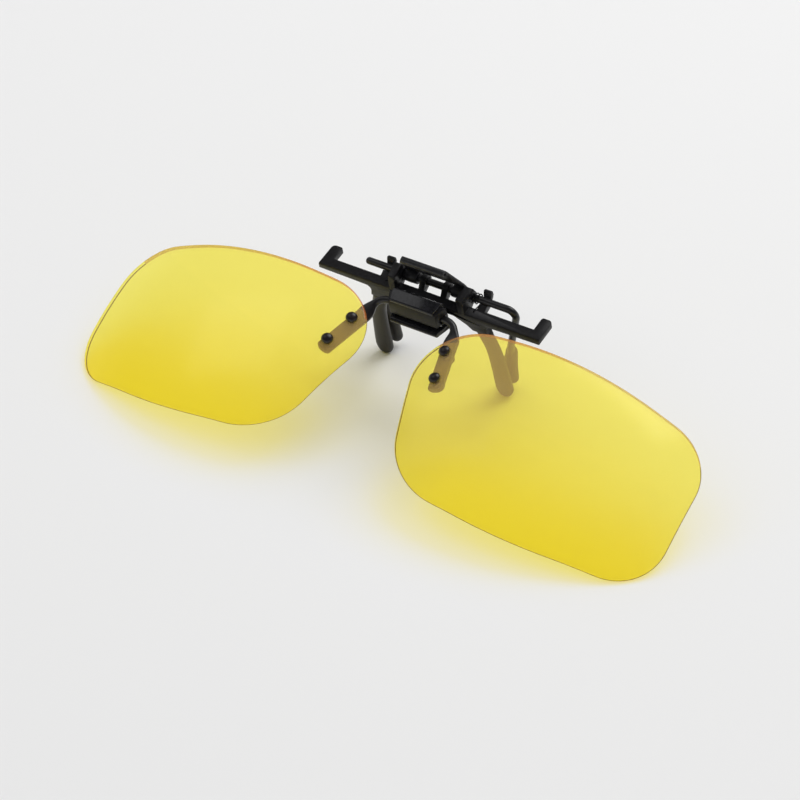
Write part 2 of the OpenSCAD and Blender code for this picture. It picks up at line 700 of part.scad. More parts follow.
// Cheek beside the thumb plate, with the axle's outer bore. Its top flares out towards the back.
module cheek() {
    out = cheek_in + cheek_t;
    flare_z = axle_z + ring_r + 0.2;
    intersection() {
        across(cheek_in - 1, out + 1) polygon([
            [0, -wing_mid_t], [0, cheek_top - 0.2], [0.2, cheek_top],
            [axle_y - 0.8, cheek_top + 0.5], [axle_y - 0.5, cheek_top + 0.45],
            [axle_y + 0.75*ring_r, axle_z + 0.6*ring_r],
            [axle_y + 0.86*ring_r, axle_z], [axle_y + 0.6*ring_r, axle_z - 0.7*ring_r],
            [axle_y - 0.2, axle_z - ring_r], [wing_depth, -wing_mid_t + 0.2],
            [wing_depth - 0.2, -wing_mid_t]]);
        union() {
            translate([cheek_in, -past, -5]) cube([cheek_t, 10, 5 + flare_z + 0.1]);
            translate([0, 0, flare_z]) linear_extrude(height = 5)
                polygon([[cheek_in - 0.15, -0.1], [out - 0.2, -0.1],
                    [out + 0.45, axle_y], [cheek_in + 0.2, axle_y]]);
        }
    }
    bar_x(axle_y, axle_z, ring_r - 0.1, cheek_in, out);
}

module axle_lug() {
    across(lug_in, lug_in + lug_t) polygon([
        [wing_depth - 0.3, -wing_mid_t + 0.1], [wing_depth - 0.3, 0],
        [axle_y - 0.75*ring_r, axle_z + 0.66*ring_r], [axle_y, axle_z],
        [axle_y + 0.5*ring_r, axle_z - 0.85*ring_r]]);
    bar_x(axle_y, axle_z, ring_r, lug_in, lug_in + lug_t);
}

module axle_saddle() {
    across(saddle_in, saddle_in + saddle_t) polygon([
        [wing_depth - 0.3, -wing_t], [wing_depth - 0.3, 0], [axle_y - bore_r - 0.1, axle_z - 0.2],
        [axle_y - 0.2, axle_z], [axle_y + bore_r, axle_z + 0.4], [axle_y + 1, axle_z + 1.3],
        [axle_y + 1.25, axle_z + 1.7], [axle_y + 1.85, axle_z + 1.45],
        [axle_y + 2, axle_z + 0.45], [axle_y + 1.65, axle_z - 0.15], [axle_y + 0.2, -0.9]]);
}

// Stations down a sleeve: [depth, middle, half width]
sleeve_stations = [
    [sleeve_top + ball_r + 0.15, leg_root_x + 0.4, 1.65],
    [9.3, 13.35, 1.6],
    [15, 13.9, 1.75],
    [foot_drop - sleeve_w/2 - 0.6, foot_x, sleeve_w/2]];

// Leaning frame of the front legs
module leaned() {
    rotate([leg_lean, 0, 0]) children();
}

module leg_core() {
    tip = foot_drop - 3;
    leaned() upright(ball_r - core_t/2, ball_r + core_t/2) polygon([
        [leg_root_x - core_w/2, -sleeve_top + 0.8], [leg_root_x + core_w/2 + 0.2, -sleeve_top + 0.8],
        [13.25 + core_w/2, -9.3], [foot_x + core_w/2, -tip], [foot_x - core_w/2, -tip],
        [13.25 - core_w/2, -9.3]]);
}

module front_sleeve(side) {
    color(black_rubber) on_table() on_side(side) difference() {
        leaned() {
            for (i = [0:len(sleeve_stations) - 2]) hull() {
                sleeve_pill(sleeve_stations[i]);
                sleeve_pill(sleeve_stations[i + 1]);
            }
            last = sleeve_stations[len(sleeve_stations) - 1];
            hull() {
                sleeve_pill(last);
                translate([foot_x - 0.05, ball_r, -foot_drop + ball_r]) sphere(r = ball_r, $fn = ball_n);
            }
        }
        leaned() core_pocket();
    }
}

module sleeve_pill(s) {
    for (e = [-1, 1]) translate([s[1] + e*(s[2] - ball_r), ball_r, -s[0]])
        sphere(r = ball_r, $fn = ball_n);
}

module core_pocket() {
    tip = foot_drop - 3 + 0.2;
    w = core_w/2 + run_gap;
    upright(ball_r - core_t/2 - run_gap, ball_r + core_t/2 + run_gap) polygon([
        [leg_root_x - w - 0.3, -sleeve_top + past], [leg_root_x + w + 0.2, -sleeve_top + past],
        [13.25 + w, -9.3], [foot_x + w, -tip], [foot_x - w, -tip], [13.25 - w, -9.3]]);
}
module left_front_sleeve() { front_sleeve(-1); }
module right_front_sleeve() { front_sleeve(1); }

// Places along the two rear legs
pad_top = rear_foot_drop - pad_len;
leg_knee = [15.4, 4.45, -10.2];
pad_entry = [rear_foot_x + 1.3, 4.95, -pad_top];
wire_tip = [rear_foot_x + 0.1, rear_foot_y - 0.1, -rear_foot_drop + 3.4];
bend_x = axle_bend - axle_r;

module axle_wire() {
    corner = [bend_x, axle_y, axle_z];
    turned = bend_x - bend_r/tan(acos([-1, 0, 0]*unit(leg_knee - corner))/2);
    color(black_metal) on_table() {
        // Straight axle with a rounded free end
        translate([-axle_free, axle_y, axle_z]) rotate([0, 90, 0]) rotate_extrude($fn = round_n)
            polygon([[0, 0], [0.55*axle_r, 0], [0.87*axle_r, 0.35*axle_r], [axle_r, 0.8*axle_r],
                [axle_r, axle_free + turned], [0, axle_free + turned]]);
        tube(concat([[turned - 0.5, axle_y, axle_z]],
            bend_points([0, axle_y, axle_z], corner, leg_knee, bend_r, 8),
            bend_points(corner, leg_knee, wire_tip, 3*bend_r, 4), [wire_tip]),
            0.985*wire_d, sweep_n);
    }
}

// The left leg is its own wire: it climbs inwards and ends behind the axle, in the plate's fold
fold_y = axle_y + 2*axle_r + plate_t + 3*run_gap;
fold_in = 4;
left_shoulder = [-cheek_in - cheek_t - 0.65, fold_y, axle_z];
left_dip = [-saddle_in - 0.1, axle_y + bore_r + 0.45, axle_z - 2*bend_r];
left_knee = [-leg_knee[0], leg_knee[1], leg_knee[2]];
left_tip = [-wire_tip[0], wire_tip[1], wire_tip[2]];
module left_leg_wire() {
    color(black_metal) on_table()
        tube(concat([[-fold_in + 0.2, fold_y, axle_z]],
            bend_points([-fold_in, fold_y, axle_z], left_shoulder, left_dip, bend_r, 7),
            bend_points(left_shoulder, left_dip, left_knee, bend_r, 5),
            bend_points(left_dip, left_knee, left_tip, 3*bend_r, 4), [left_tip]), wire_d, sweep_n);
}

// Points of the arc that rounds the corner p between its neighbours a and b in space
function bend_points(a, p, b, r, n) =
    let(ea = unit(a - p), eb = unit(b - p), half = acos(ea*eb)/2,
        c = p + unit(ea + eb)*r/sin(half),
        from = (p + ea*r/tan(half) - c)/r, to = (p + eb*r/tan(half) - c)/r,
        turn = acos(from*to))
    [for (i = [0:n]) c + r*(from*sin(turn*(1 - i/n)) + to*sin(turn*i/n))/sin(turn)];

// Drop-shaped soft pad on the end of a rear leg, with a shoulder where the wire enters
module rear_pad(side) {
    pr = pad_t/2;
    wide = pad_w/2 - pr;
    top = pad_entry + [-0.15, 0.1, 0];
    mid = [rear_foot_x + 0.25, rear_foot_y - 0.25, -rear_foot_drop + 5.4];
    low = [rear_foot_x, rear_foot_y, -rear_foot_drop + pad_w/2];
    tip = [rear_foot_x, rear_foot_y, -rear_foot_drop + pr];
    color(black_rubber) on_table() on_side(side) difference() {
        union() {
            hull() {
                translate(top) sphere(r = pr + 0.15, $fn = ball_n);
                for (e = [-1, 1]) translate(mid + [e*wide, 0, 0]) sphere(r = pr, $fn = ball_n);
            }
            hull() for (e = [-1, 1]) {
                translate(mid + [e*wide, 0, 0]) sphere(r = pr, $fn = ball_n);
                translate(low + [e*wide*0.9, 0, 0]) sphere(r = pr, $fn = ball_n);
                translate(tip) sphere(r = pr, $fn = ball_n);
            }
        }
        run(leg_knee, wire_tip + unit(wire_tip - leg_knee)*0.1, wire_d + 2*seat_gap);
    }
}
module left_rear_pad() { rear_pad(-1); }
module right_rear_pad() { rear_pad(1); }

// Thumb plate: pressed sheet that folds round the axle, rises, and rolls back at its lip
wrap_in = 4;
wrap_out = plate_ear_w/2;
wrap_r = bore_r + plate_t;
tang_in = wrap_out - 1.2;
tang_y = axle_y + 0.3;
tang_z = axle_z - wrap_r - 0.35;
module plate_profile() {
    translate([axle_y, axle_z]) {
        rotate(plate_lean) {
            translate([bore_r, 0]) square([plate_t, plate_len - lip_r]);
            translate([wrap_r - lip_r, plate_len - lip_r]) difference() {
                circle(r = lip_r, $fn = round_n);
                circle(r = lip_r - plate_t, $fn = round_n);
                translate([-5, -5]) square([5, 5 - 0.35*lip_r]);
            }
        }
        difference() {
            circle(r = wrap_r, $fn = round_n);
            circle(r = bore_r, $fn = round_n);
        }
    }
}

module thumb_plate() {
    ear = plate_ear_w/2;
    top = plate_top_w/2;
    ear_foot = cheek_top - axle_z + 0.2;
    open_foot = ring_r + side_gap + 0.3;
    color(black_metal) on_table() {
        intersection() {
            across(-10, 10) plate_profile();
            translate([0, axle_y, axle_z]) rotate([90 + plate_lean, 0, 0])
                translate([0, 0, -10]) linear_extrude(height = 20)
                    polygon([[-ear, -3], [-ear, ear_foot], [-top - 0.3, plate_len - 1.6],
                        [-top, plate_len - 0.9], [-top + 0.3, plate_len + 1],
                        [top - 0.3, plate_len + 1], [top, plate_len - 0.9],
                        [top + 0.3, plate_len - 1.6], [ear, ear_foot], [ear, -3], [wrap_in, -3],
                        [wrap_in, open_foot], [-wrap_in, open_foot], [-wrap_in, -3]]);
        }
        // Tangs under the folds, which the closing springs push forward
        both_sides() across(tang_in, ear) polygon([
            [tang_y - plate_t, axle_z - wrap_r + 0.2], [tang_y - plate_t, tang_z - 0.35],
            [tang_y, tang_z - 0.35], [tang_y, axle_z - wrap_r + 0.2]]);
        // Second fold, round the end of the left leg's wire
        across(-wrap_out, -wrap_in) difference() {
            union() {
                translate([fold_y, axle_z]) circle(r = wrap_r, $fn = round_n);
                translate([axle_y + bore_r + 0.1, axle_z - 0.7]) square([0.9, 1.4]);
            }
            translate([fold_y, axle_z]) circle(r = bore_r, $fn = round_n);
            translate([axle_y, axle_z]) circle(r = bore_r + 0.05, $fn = round_n);
        }
    }
}

// Closing spring: one leg forward over the wing's back edge, the coil round the axle, and the
// other leg down and in, to push on the tang of the thumb plate from behind
coil_r = axle_r + run_gap + 0.12 + spring_d/2;
coil_from = 258;
coil_to = 240 + 360*spring_loops;
leg_x = spring_in + spring_d/2;
function coil_point(a) =
    let(t = (a - coil_from)/(coil_to - coil_from))
    [leg_x + (spring_len - spring_d)*(1 - t),
     axle_y + coil_r*cos(a), axle_z + coil_r*sin(a)];
coil_steps = 8*spring_loops;
rest_edge = [coil_point(coil_from)[0], wing_depth - 0.2, spring_d/2 + 0.03];
push_in = [leg_x, tang_y + spring_d/2 + seat_gap, tang_z - 0.1];
spring_route = concat(
    [rest_edge + [0, -0.9, 0.15], rest_edge],
    [for (i = [0:coil_steps]) coil_point(coil_from + (coil_to - coil_from)*i/coil_steps)],
    [push_in + [0, 0.05, 0.12], push_in - [0.15, 0, 0], [tang_in + 0.25, push_in[1], push_in[2]]]);

// Tube along a route, six-sided, each ring square to the mean of its two runs
function route_way(p, i) = unit(i == 0 ? p[1] - p[0] : i == len(p) - 1 ? p[i] - p[i - 1]
    : unit(p[i + 1] - p[i]) + unit(p[i] - p[i - 1]));
function carry(v, w) = unit(v - w*(v*w));
function frames(p, i, v) = i == len(p) ? []
    : let(u = carry(v, route_way(p, i))) concat([u], frames(p, i + 1, u));
module tube(p, d, n) {
    ups = frames(p, 0, [0.3, 0.5, 1]);
    skin([for (i = [0:len(p) - 1])
        let(w = route_way(p, i), u = ups[i], s = cross(u, w))
        [for (k = [0:n - 1]) p[i] + d/2*(u*cos(360*k/n) + s*sin(360*k/n))]], n);
}

function near_turns(p, d) = min([for (i = [0:len(p) - 1], j = [i + 7:1:len(p) - 1])
    norm(p[i] - p[j]) - d]);
module closing_spring(side) {
    color(spring_steel) on_table() on_side(side) tube(spring_route, spring_d, 6);
}
module left_closing_spring() { closing_spring(-1); }
module right_closing_spring() {
    closing_spring(1);
    echo(least_gap_between_turns = near_turns(spring_route, spring_d));
}

clip_body();
left_front_sleeve();
right_front_sleeve();
thumb_plate();
axle_wire();
left_leg_wire();
left_rear_pad();
right_rear_pad();
left_closing_spring();
right_closing_spring();
flip_pin();
detent_spring();
hinge_block();
block_cover();
lower_plate();
plate_rivets();
bridge_wire();
left_lens();
right_lens();
left_lens_screws();
right_lens_screws();
left_washers();
right_washers();
left_cap_nuts();
right_cap_nuts();
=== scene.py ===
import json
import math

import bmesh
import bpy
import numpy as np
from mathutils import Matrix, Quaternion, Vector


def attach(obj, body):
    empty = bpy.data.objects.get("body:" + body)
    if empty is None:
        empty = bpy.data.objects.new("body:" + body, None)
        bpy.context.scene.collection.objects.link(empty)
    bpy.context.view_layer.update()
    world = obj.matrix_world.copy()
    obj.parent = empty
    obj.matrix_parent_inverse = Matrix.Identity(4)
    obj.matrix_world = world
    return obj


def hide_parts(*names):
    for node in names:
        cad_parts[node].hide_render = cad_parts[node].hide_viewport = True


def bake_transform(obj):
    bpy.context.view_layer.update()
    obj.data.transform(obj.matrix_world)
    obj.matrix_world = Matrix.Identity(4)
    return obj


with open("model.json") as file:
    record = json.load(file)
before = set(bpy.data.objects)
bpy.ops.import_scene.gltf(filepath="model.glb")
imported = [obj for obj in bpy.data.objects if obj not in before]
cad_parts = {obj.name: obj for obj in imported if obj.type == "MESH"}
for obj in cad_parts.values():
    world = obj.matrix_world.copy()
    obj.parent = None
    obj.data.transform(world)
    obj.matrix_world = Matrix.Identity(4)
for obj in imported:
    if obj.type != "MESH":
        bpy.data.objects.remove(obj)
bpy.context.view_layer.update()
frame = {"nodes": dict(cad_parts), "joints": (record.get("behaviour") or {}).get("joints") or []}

# %% [markdown]
# # Clip-on driving glasses
# The CAD model is already in the scene: every solid lies where the real piece lies, in metres,
# and rides on one of three bodies: the clip, the jaw behind it, and the frame that flips up.
# This lesson dresses those solids. It builds finer pieces over them, gives each piece a
# material made of nodes, and lights the glasses as they lie on a pale table. Left and right are
# those of someone who stands in front of the glasses, so left is towards -X.

# %% [markdown]
# ## Where things are
# The clip was drawn upright and then tipped back, as it lies on its feet and on the corners of
# the lenses. Points are easier to think of in the upright drawing, so one helper turns upright
# millimetres into metres on the table. The tip and the lift could be copied from the CAD model
# by hand, but both hinge axes are known in the drawing and on the table, and two points give a
# turn and a shift. So they are worked out here, and nothing has to be copied.

# %% From the upright drawing to the table
MM = 0.001
JAW_AXLE = np.array([4.1, 0.85])
FLIP_PIN = np.array([-1.6, -1.6])
SIDES = (("left", -1), ("right", 1))

hinge_at = {j["name"]: np.array(j["pos_m"][1:])/MM for j in frame["joints"]}
drawn = JAW_AXLE - FLIP_PIN
lying = hinge_at["jaw_hinge"] - hinge_at["flip_hinge"]
TIP = math.atan2(lying[1], lying[0]) - math.atan2(drawn[1], drawn[0])
TURN = np.array([[math.cos(TIP), -math.sin(TIP)], [math.sin(TIP), math.cos(TIP)]])
LIFT = hinge_at["flip_hinge"] - TURN @ FLIP_PIN


def place(points):
    """Upright millimetres to metres on the table, for one point or many."""
    p = np.atleast_2d(np.asarray(points, float))
    yz = p[:, 1:]@TURN.T + LIFT
    return np.c_[p[:, 0], yz]*MM


print("tip in degrees:", round(math.degrees(TIP), 2), "lift in mm:", LIFT.round(3))

# %% [markdown]
# ## Camera
# The glasses are seen from the front, from their right and from above, through a long lens, so
# that near and far pieces keep nearly the same size. A camera could be dragged into place by
# eye. Here it is placed by the point it looks at, two angles and a distance, which can be
# changed one at a time, and it is rolled a little about its own axis.

# %% The camera
AZIMUTH, ELEVATION, ROLL = 33.462, 37.440, -1.370
LOOK_AT = Vector((0.011428, -0.013906, 0.020))
DISTANCE = 0.56339
FOCAL_MM, SENSOR_MM = 135, 36
NEAREST, FARTHEST = 0.02, 20

camera = bpy.data.objects.new("camera", bpy.data.cameras.new("camera"))
bpy.context.scene.collection.objects.link(camera)
azimuth, elevation = math.radians(AZIMUTH), math.radians(ELEVATION)
back = Vector((math.sin(azimuth)*math.cos(elevation), -math.cos(azimuth)*math.cos(elevation),
               math.sin(elevation)))
camera.location = LOOK_AT + back*DISTANCE
camera.rotation_mode = "QUATERNION"
camera.rotation_quaternion = ((-back).to_track_quat("-Z", "Y")
                              @ Quaternion((0, 0, 1), math.radians(ROLL)))
camera.data.lens, camera.data.sensor_width = FOCAL_MM, SENSOR_MM
camera.data.clip_start, camera.data.clip_end = NEAREST, FARTHEST
bpy.context.scene.camera = camera
print("camera at", [round(v, 4) for v in camera.location])

# %% [markdown]
# ## The room
# Black gloss shows its surroundings more than its own colour, so the room matters as much as
# the finishes. A picture of a studio could be wrapped round the scene. A plain gradient does
# the same here with nothing to load: the room is pale low down, where it meets the table, and
# dark overhead. The sides of the black pieces then mirror something pale, and their tops stay
# black. Node trees return all through this lesson, so two small helpers come first.

# %% Helpers for node trees
def link(tree, a, b):
    """Joins the output socket a to the input socket b."""
    tree.links.new(a, b)


def node(tree, kind, **values):
    """A node with its plain inputs set by name, with the spaces written as underscores."""
    n = tree.nodes.new(kind)
    for key, value in values.items():
        if hasattr(n, key):
            setattr(n, key, value)
        else:
            n.inputs[key.replace("_", " ")].default_value = value
    return n


# %% The gradient of the room
ROOM_PALE, ROOM_DARK = 0.83, 0.03
PALE_UP_TO, DARK_FROM = 0.04, 0.4

bpy.context.scene.view_settings.view_transform = "Standard"
world = bpy.data.worlds.new("room")
bpy.context.scene.world = world
world.use_nodes = True
wt = world.node_tree
wt.nodes.clear()
direction = node(wt, "ShaderNodeTexCoord")
height = node(wt, "ShaderNodeSeparateXYZ")
ceiling = node(wt, "ShaderNodeMapRange", From_Min=PALE_UP_TO, From_Max=DARK_FROM,
               To_Min=ROOM_PALE, To_Max=ROOM_DARK, interpolation_type="SMOOTHSTEP")
room = node(wt, "ShaderNodeBackground", Color=(1, 1, 1, 1))
room_out = node(wt, "ShaderNodeOutputWorld")
link(wt, direction.outputs["Generated"], height.inputs[0])
link(wt, height.outputs["Z"], ceiling.inputs["Value"])
link(wt, ceiling.outputs["Result"], room.inputs["Strength"])
link(wt, room.outputs[0], room_out.inputs["Surface"])
print("room from", ROOM_PALE, "at the table to", ROOM_DARK, "overhead")

# %% [markdown]
# ## Lamps
# The main light of a table-top studio is a wide soft box behind and above the object: the
# shadows then fall towards the camera, and the light that comes through the lenses colours
# the table in front of them. A weaker box lights the left side. A very wide panel overhead
# fills the shadows. It leaves no mirror image, because a bright ceiling in the gloss would
# turn every black plate grey. Area lamps do this; point lamps would give small, hard shadows.

# %% Three soft boxes
LAMPS_AIM = Vector((0, 0, 0.01))


def soft_box(name, at, size, watts, mirrored=True):
    """A square area lamp that faces the glasses; it may leave no mirror image."""
    lamp = bpy.data.objects.new(name, bpy.data.lights.new(name, "AREA"))
    bpy.context.scene.collection.objects.link(lamp)
    lamp.data.size, lamp.data.energy = size, watts
    lamp.visible_glossy = mirrored
    lamp.location = at
    lamp.rotation_mode = "QUATERNION"
    lamp.rotation_quaternion = (LAMPS_AIM - Vector(at)).to_track_quat("-Z", "Y")
    print(name, size, "m wide,", watts, "W")


soft_box("soft_box_behind", at=(0.20, 0.80, 1.00), size=0.90, watts=8.0)
soft_box("soft_box_left", at=(-0.80, -0.10, 1.20), size=0.70, watts=1.5)
soft_box("sky_panel", at=(0.0, 0.0, 0.9), size=3.0, watts=21.5, mirrored=False)

# %% [markdown]
# ## Table
# The glasses lie on one pale sheet that runs past the picture on all sides, so there is no
# corner behind them. It is a single square with a matt finish: it only has to take the shadows
# and the yellow light of the lenses, and its own colour makes the pale background.

# %% The pale sheet
TABLE_GREY, TABLE_ROUGH, TABLE_HALF = 0.81, 0.9, 0.9

table_mesh = bpy.data.meshes.new("table")
table_mesh.from_pydata([(x*TABLE_HALF, y*TABLE_HALF, 0) for x, y in
                        ((-1, -1), (1, -1), (1, 1), (-1, 1))], [], [(0, 1, 2, 3)])
table = bpy.data.objects.new("table", table_mesh)
bpy.context.scene.collection.objects.link(table)

pale_table = bpy.data.materials.new("pale_table")
pale_table.use_nodes = True
sheet = pale_table.node_tree.nodes["Principled BSDF"]
sheet.inputs["Base Color"].default_value = (TABLE_GREY, TABLE_GREY, TABLE_GREY, 1)
sheet.inputs["Roughness"].default_value = TABLE_ROUGH
sheet.inputs["Specular IOR Level"].default_value = 0.0
table_mesh.materials.append(pale_table)
print("table", 2*TABLE_HALF, "m wide")

# %% [markdown]
# ## Shared effects
# Three effects return on several finishes: grain, polished edges and dust. The nodes could be
# built again in each material, but then a change would have to be made in all of them. So each
# effect is a node group with named inputs, built once and placed in each material with its own
# values. Two helpers make a group and place it, and a third reads the place on the piece.

# %% Building and placing a group
def group(name, inputs, outputs):
    """An empty shader group with float inputs (name, default, low, high) and float outputs."""
    g = bpy.data.node_groups.new(name, "ShaderNodeTree")
    for title, default, low, high in inputs:
        s = g.interface.new_socket(title, in_out="INPUT", socket_type="NodeSocketFloat")
        s.default_value, s.min_value, s.max_value = default, low, high
    for title in outputs:
        g.interface.new_socket(title, in_out="OUTPUT", socket_type="NodeSocketFloat")
    print("group", name, "puts out", outputs)
    return g, g.nodes.new("NodeGroupInput"), g.nodes.new("NodeGroupOutput")


def use(tree, shared, **values):
    """Places a shared group in a material, with its own values."""
    n = tree.nodes.new("ShaderNodeGroup")
    n.node_tree = shared
    for key, value in values.items():
        n.inputs[key].default_value = value
    return n


def place_on_piece(tree):
    """The socket of the point that is shaded, in the piece's own metres."""
    return tree.nodes.new("ShaderNodeTexCoord").outputs["Object"]


# %% [markdown]
# ## Grain
# A mould leaves a fine grain on plastic, and a sprayed coat dries with one. A picture of grain
# would need every piece unwrapped. Noise on the Object coordinates needs nothing, and keeps
# one size on large and small pieces. A fine noise gives the relief, and a coarse one, spread
# over its full range, gives the slow patches in colour and gloss.

# %% The grain group
PATCHES_SCALE = 420.0

grain, grain_in, grain_out = group(
    "fine_grain", [("Size", 4000, 10, 60000), ("Unevenness", 0.5, 0, 1)], ["Height", "Mottle"])
where = place_on_piece(grain)
pebbles = node(grain, "ShaderNodeTexNoise", Detail=3.0, Roughness=0.6)
patches = node(grain, "ShaderNodeTexNoise", Scale=PATCHES_SCALE, Detail=4.0, Roughness=0.65)
spread = node(grain, "ShaderNodeMapRange", From_Min=0.3, From_Max=0.7)
amount = node(grain, "ShaderNodeMath", operation="MULTIPLY")
link(grain, where, pebbles.inputs["Vector"])
link(grain, where, patches.inputs["Vector"])
link(grain, grain_in.outputs["Size"], pebbles.inputs["Scale"])
link(grain, patches.outputs["Fac"], spread.inputs["Value"])
link(grain, spread.outputs["Result"], amount.inputs[0])
link(grain, grain_in.outputs["Unevenness"], amount.inputs[1])
link(grain, pebbles.outputs["Fac"], grain_out.inputs["Height"])
link(grain, amount.outputs[0], grain_out.inputs["Mottle"])

# %% [markdown]
# ## Polished edges
# Fingers and cloths polish the edges of black pieces, and worn edges are what tells a used
# thing from a drawing. The pieces will carry a point attribute called "edge", which is 1 along
# their rounded edges. The group breaks it up with noise, because wear is never even.

# %% The polish group
polish, polish_in, polish_out = group("polished_edges", [("Breakup", 1500, 10, 20000)],
                                      ["Mask"])
marked = node(polish, "ShaderNodeAttribute", attribute_name="edge")
rubbed = node(polish, "ShaderNodeTexNoise", Detail=2.0)
breakup = node(polish, "ShaderNodeMapRange", From_Min=0.35, From_Max=0.65, To_Min=0.25)
worn_edge = node(polish, "ShaderNodeMath", operation="MULTIPLY", use_clamp=True)
link(polish, place_on_piece(polish), rubbed.inputs["Vector"])
link(polish, polish_in.outputs["Breakup"], rubbed.inputs["Scale"])
link(polish, rubbed.outputs["Fac"], breakup.inputs["Value"])
link(polish, marked.outputs["Fac"], worn_edge.inputs[0])
link(polish, breakup.outputs["Result"], worn_edge.inputs[1])
link(polish, worn_edge.outputs[0], polish_out.inputs["Mask"])

# %% [markdown]
# ## Dust
# A little dust settles on faces that look up, most of all on silicone. Loose specks could be
# modelled one by one, but at this size a mask is enough: the upward part of the normal, times
# a very fine noise that keeps only its peaks.

# %% The dust group
SPECKS_SCALE = 2600.0

dust, dust_in, dust_out = group("settled_dust", [("Amount", 0.15, 0, 1)], ["Mask"])
facing = node(dust, "ShaderNodeNewGeometry")
upward = node(dust, "ShaderNodeSeparateXYZ")
level = node(dust, "ShaderNodeMapRange", From_Min=0.3, From_Max=1.0)
specks = node(dust, "ShaderNodeTexNoise", Scale=SPECKS_SCALE, Detail=5.0, Roughness=0.75)
loose = node(dust, "ShaderNodeMapRange", From_Min=0.5, From_Max=0.75)
lying_on = node(dust, "ShaderNodeMath", operation="MULTIPLY")
much = node(dust, "ShaderNodeMath", operation="MULTIPLY", use_clamp=True)
link(dust, facing.outputs["Normal"], upward.inputs[0])
link(dust, upward.outputs["Z"], level.inputs["Value"])
link(dust, place_on_piece(dust), specks.inputs["Vector"])
link(dust, specks.outputs["Fac"], loose.inputs["Value"])
link(dust, level.outputs["Result"], lying_on.inputs[0])
link(dust, loose.outputs["Result"], lying_on.inputs[1])
link(dust, lying_on.outputs[0], much.inputs[0])
link(dust, dust_in.outputs["Amount"], much.inputs[1])
link(dust, much.outputs[0], dust_out.inputs["Mask"])

# %% [markdown]
# ## One recipe for the black finishes
# All the small pieces are black, and only their gloss tells them apart. Each could have a tree
# of its own, but they differ in numbers only, so one recipe makes them all: a dark colour that
# varies a little, a roughness that the grain disturbs, edges that are polished, a breath of
# dust, and a bump. "shine" is the strength of the mirror image seen straight on: it sets how
# black a black can be in a pale room, which is why it is low for most of them.

# %% Mixing two colours
def colour_mix(tree, factor, a, b):
    """Mixes two colours, each a socket or a plain colour, by a factor socket."""
    m = node(tree, "ShaderNodeMix", data_type="RGBA")
    link(tree, factor, m.inputs["Factor"])
    for socket, value in ((m.inputs[6], a), (m.inputs[7], b)):
        if isinstance(value, bpy.types.NodeSocket):
            link(tree, value, socket)
        else:
            socket.default_value = (*value, 1)
    return m.outputs[2]


# %% The recipe of a black finish
DUST_COLOUR = (0.42, 0.40, 0.36)
EDGE_BREAKUP, BUMP_DEPTH = 1500, 0.00002


def dark_finish(name, deep, pale, edge, rough, rough_spread, grain_size, bump, dusty,
                metallic=0.0, coat=0.0, coat_rough=0.1, shine=0.5, edge_rough=-0.08):
    """edge: the colour of worn edges; edge_rough: what wear adds to their roughness."""
    m = bpy.data.materials.new(name)
    m.use_nodes = True
    t = m.node_tree
    skin = t.nodes["Principled BSDF"]
    for socket, value in (("Metallic", metallic), ("Coat Weight", coat),
                          ("Coat Roughness", coat_rough), ("Specular IOR Level", shine)):
        skin.inputs[socket].default_value = value
    g = use(t, grain, Size=grain_size, Unevenness=1.0)
    e = use(t, polish, Breakup=EDGE_BREAKUP)
    d = use(t, dust, Amount=dusty)
    body = colour_mix(t, g.outputs["Mottle"], deep, pale)
    worn = colour_mix(t, e.outputs["Mask"], body, edge)
    link(t, colour_mix(t, d.outputs["Mask"], worn, DUST_COLOUR), skin.inputs["Base Color"])
    base_rough = node(t, "ShaderNodeMapRange", To_Min=rough - rough_spread,
                      To_Max=rough + rough_spread)
    rub = node(t, "ShaderNodeMath", operation="MULTIPLY_ADD", use_clamp=True)
    rub.inputs[1].default_value = edge_rough
    link(t, g.outputs["Mottle"], base_rough.inputs["Value"])
    link(t, e.outputs["Mask"], rub.inputs[0])
    link(t, base_rough.outputs["Result"], rub.inputs[2])
    link(t, rub.outputs[0], skin.inputs["Roughness"])
    relief = node(t, "ShaderNodeBump", Strength=bump, Distance=BUMP_DEPTH)
    link(t, g.outputs["Height"], relief.inputs["Height"])
    link(t, relief.outputs["Normal"], skin.inputs["Normal"])
    print("finish", name, "roughness", rough)
    return m


# %% [markdown]
# ## Moulding and pressed plates
# The clip and the hinge block are moulded in a satin plastic with a fine grain. The cover and
# the plate under the block are pressed from sheet and dipped in a glossy lacquer, which is a
# clear coat over the base. The thumb plate has a drier, sprayed coat. The edge colour of the
# moulding stays close to its base, because its edges spread over broad rounded faces.

# %% Finishes of the moulding and the plates
moulded_black = dark_finish(
    "moulded_black", deep=(0.007, 0.0065, 0.007), pale=(0.010, 0.0095, 0.010),
    edge=(0.016, 0.016, 0.018), rough=0.34, rough_spread=0.012, grain_size=12000, bump=0.06,
    dusty=0.002, shine=0.22, edge_rough=-0.02)
gloss_black = dark_finish(
    "gloss_black_coat", deep=(0.003, 0.003, 0.004), pale=(0.006, 0.006, 0.007),
    edge=(0.02, 0.02, 0.024), rough=0.24, rough_spread=0.02, grain_size=5000, bump=0.05,
    dusty=0.002, coat=0.3, coat_rough=0.16, shine=0.3)
sprayed_black = dark_finish(
    "sprayed_black_coat", deep=(0.003, 0.003, 0.0035), pale=(0.005, 0.005, 0.006),
    edge=(0.03, 0.03, 0.034), rough=0.42, rough_spread=0.02, grain_size=8000, bump=0.05,
    dusty=0.002, shine=0.45)

# %% [markdown]
# ## Wires, springs and small hardware
# The wires are coated too, a little rougher than the glossy plates. Blued spring steel is the
# one bare metal on the glasses, so it is the one finish with Metallic at 1: its dark colour is
# that of its mirror image. The screws and cap nuts are blackened with a warm cast, and the
# washers are a soft dark plastic, duller than the rest.

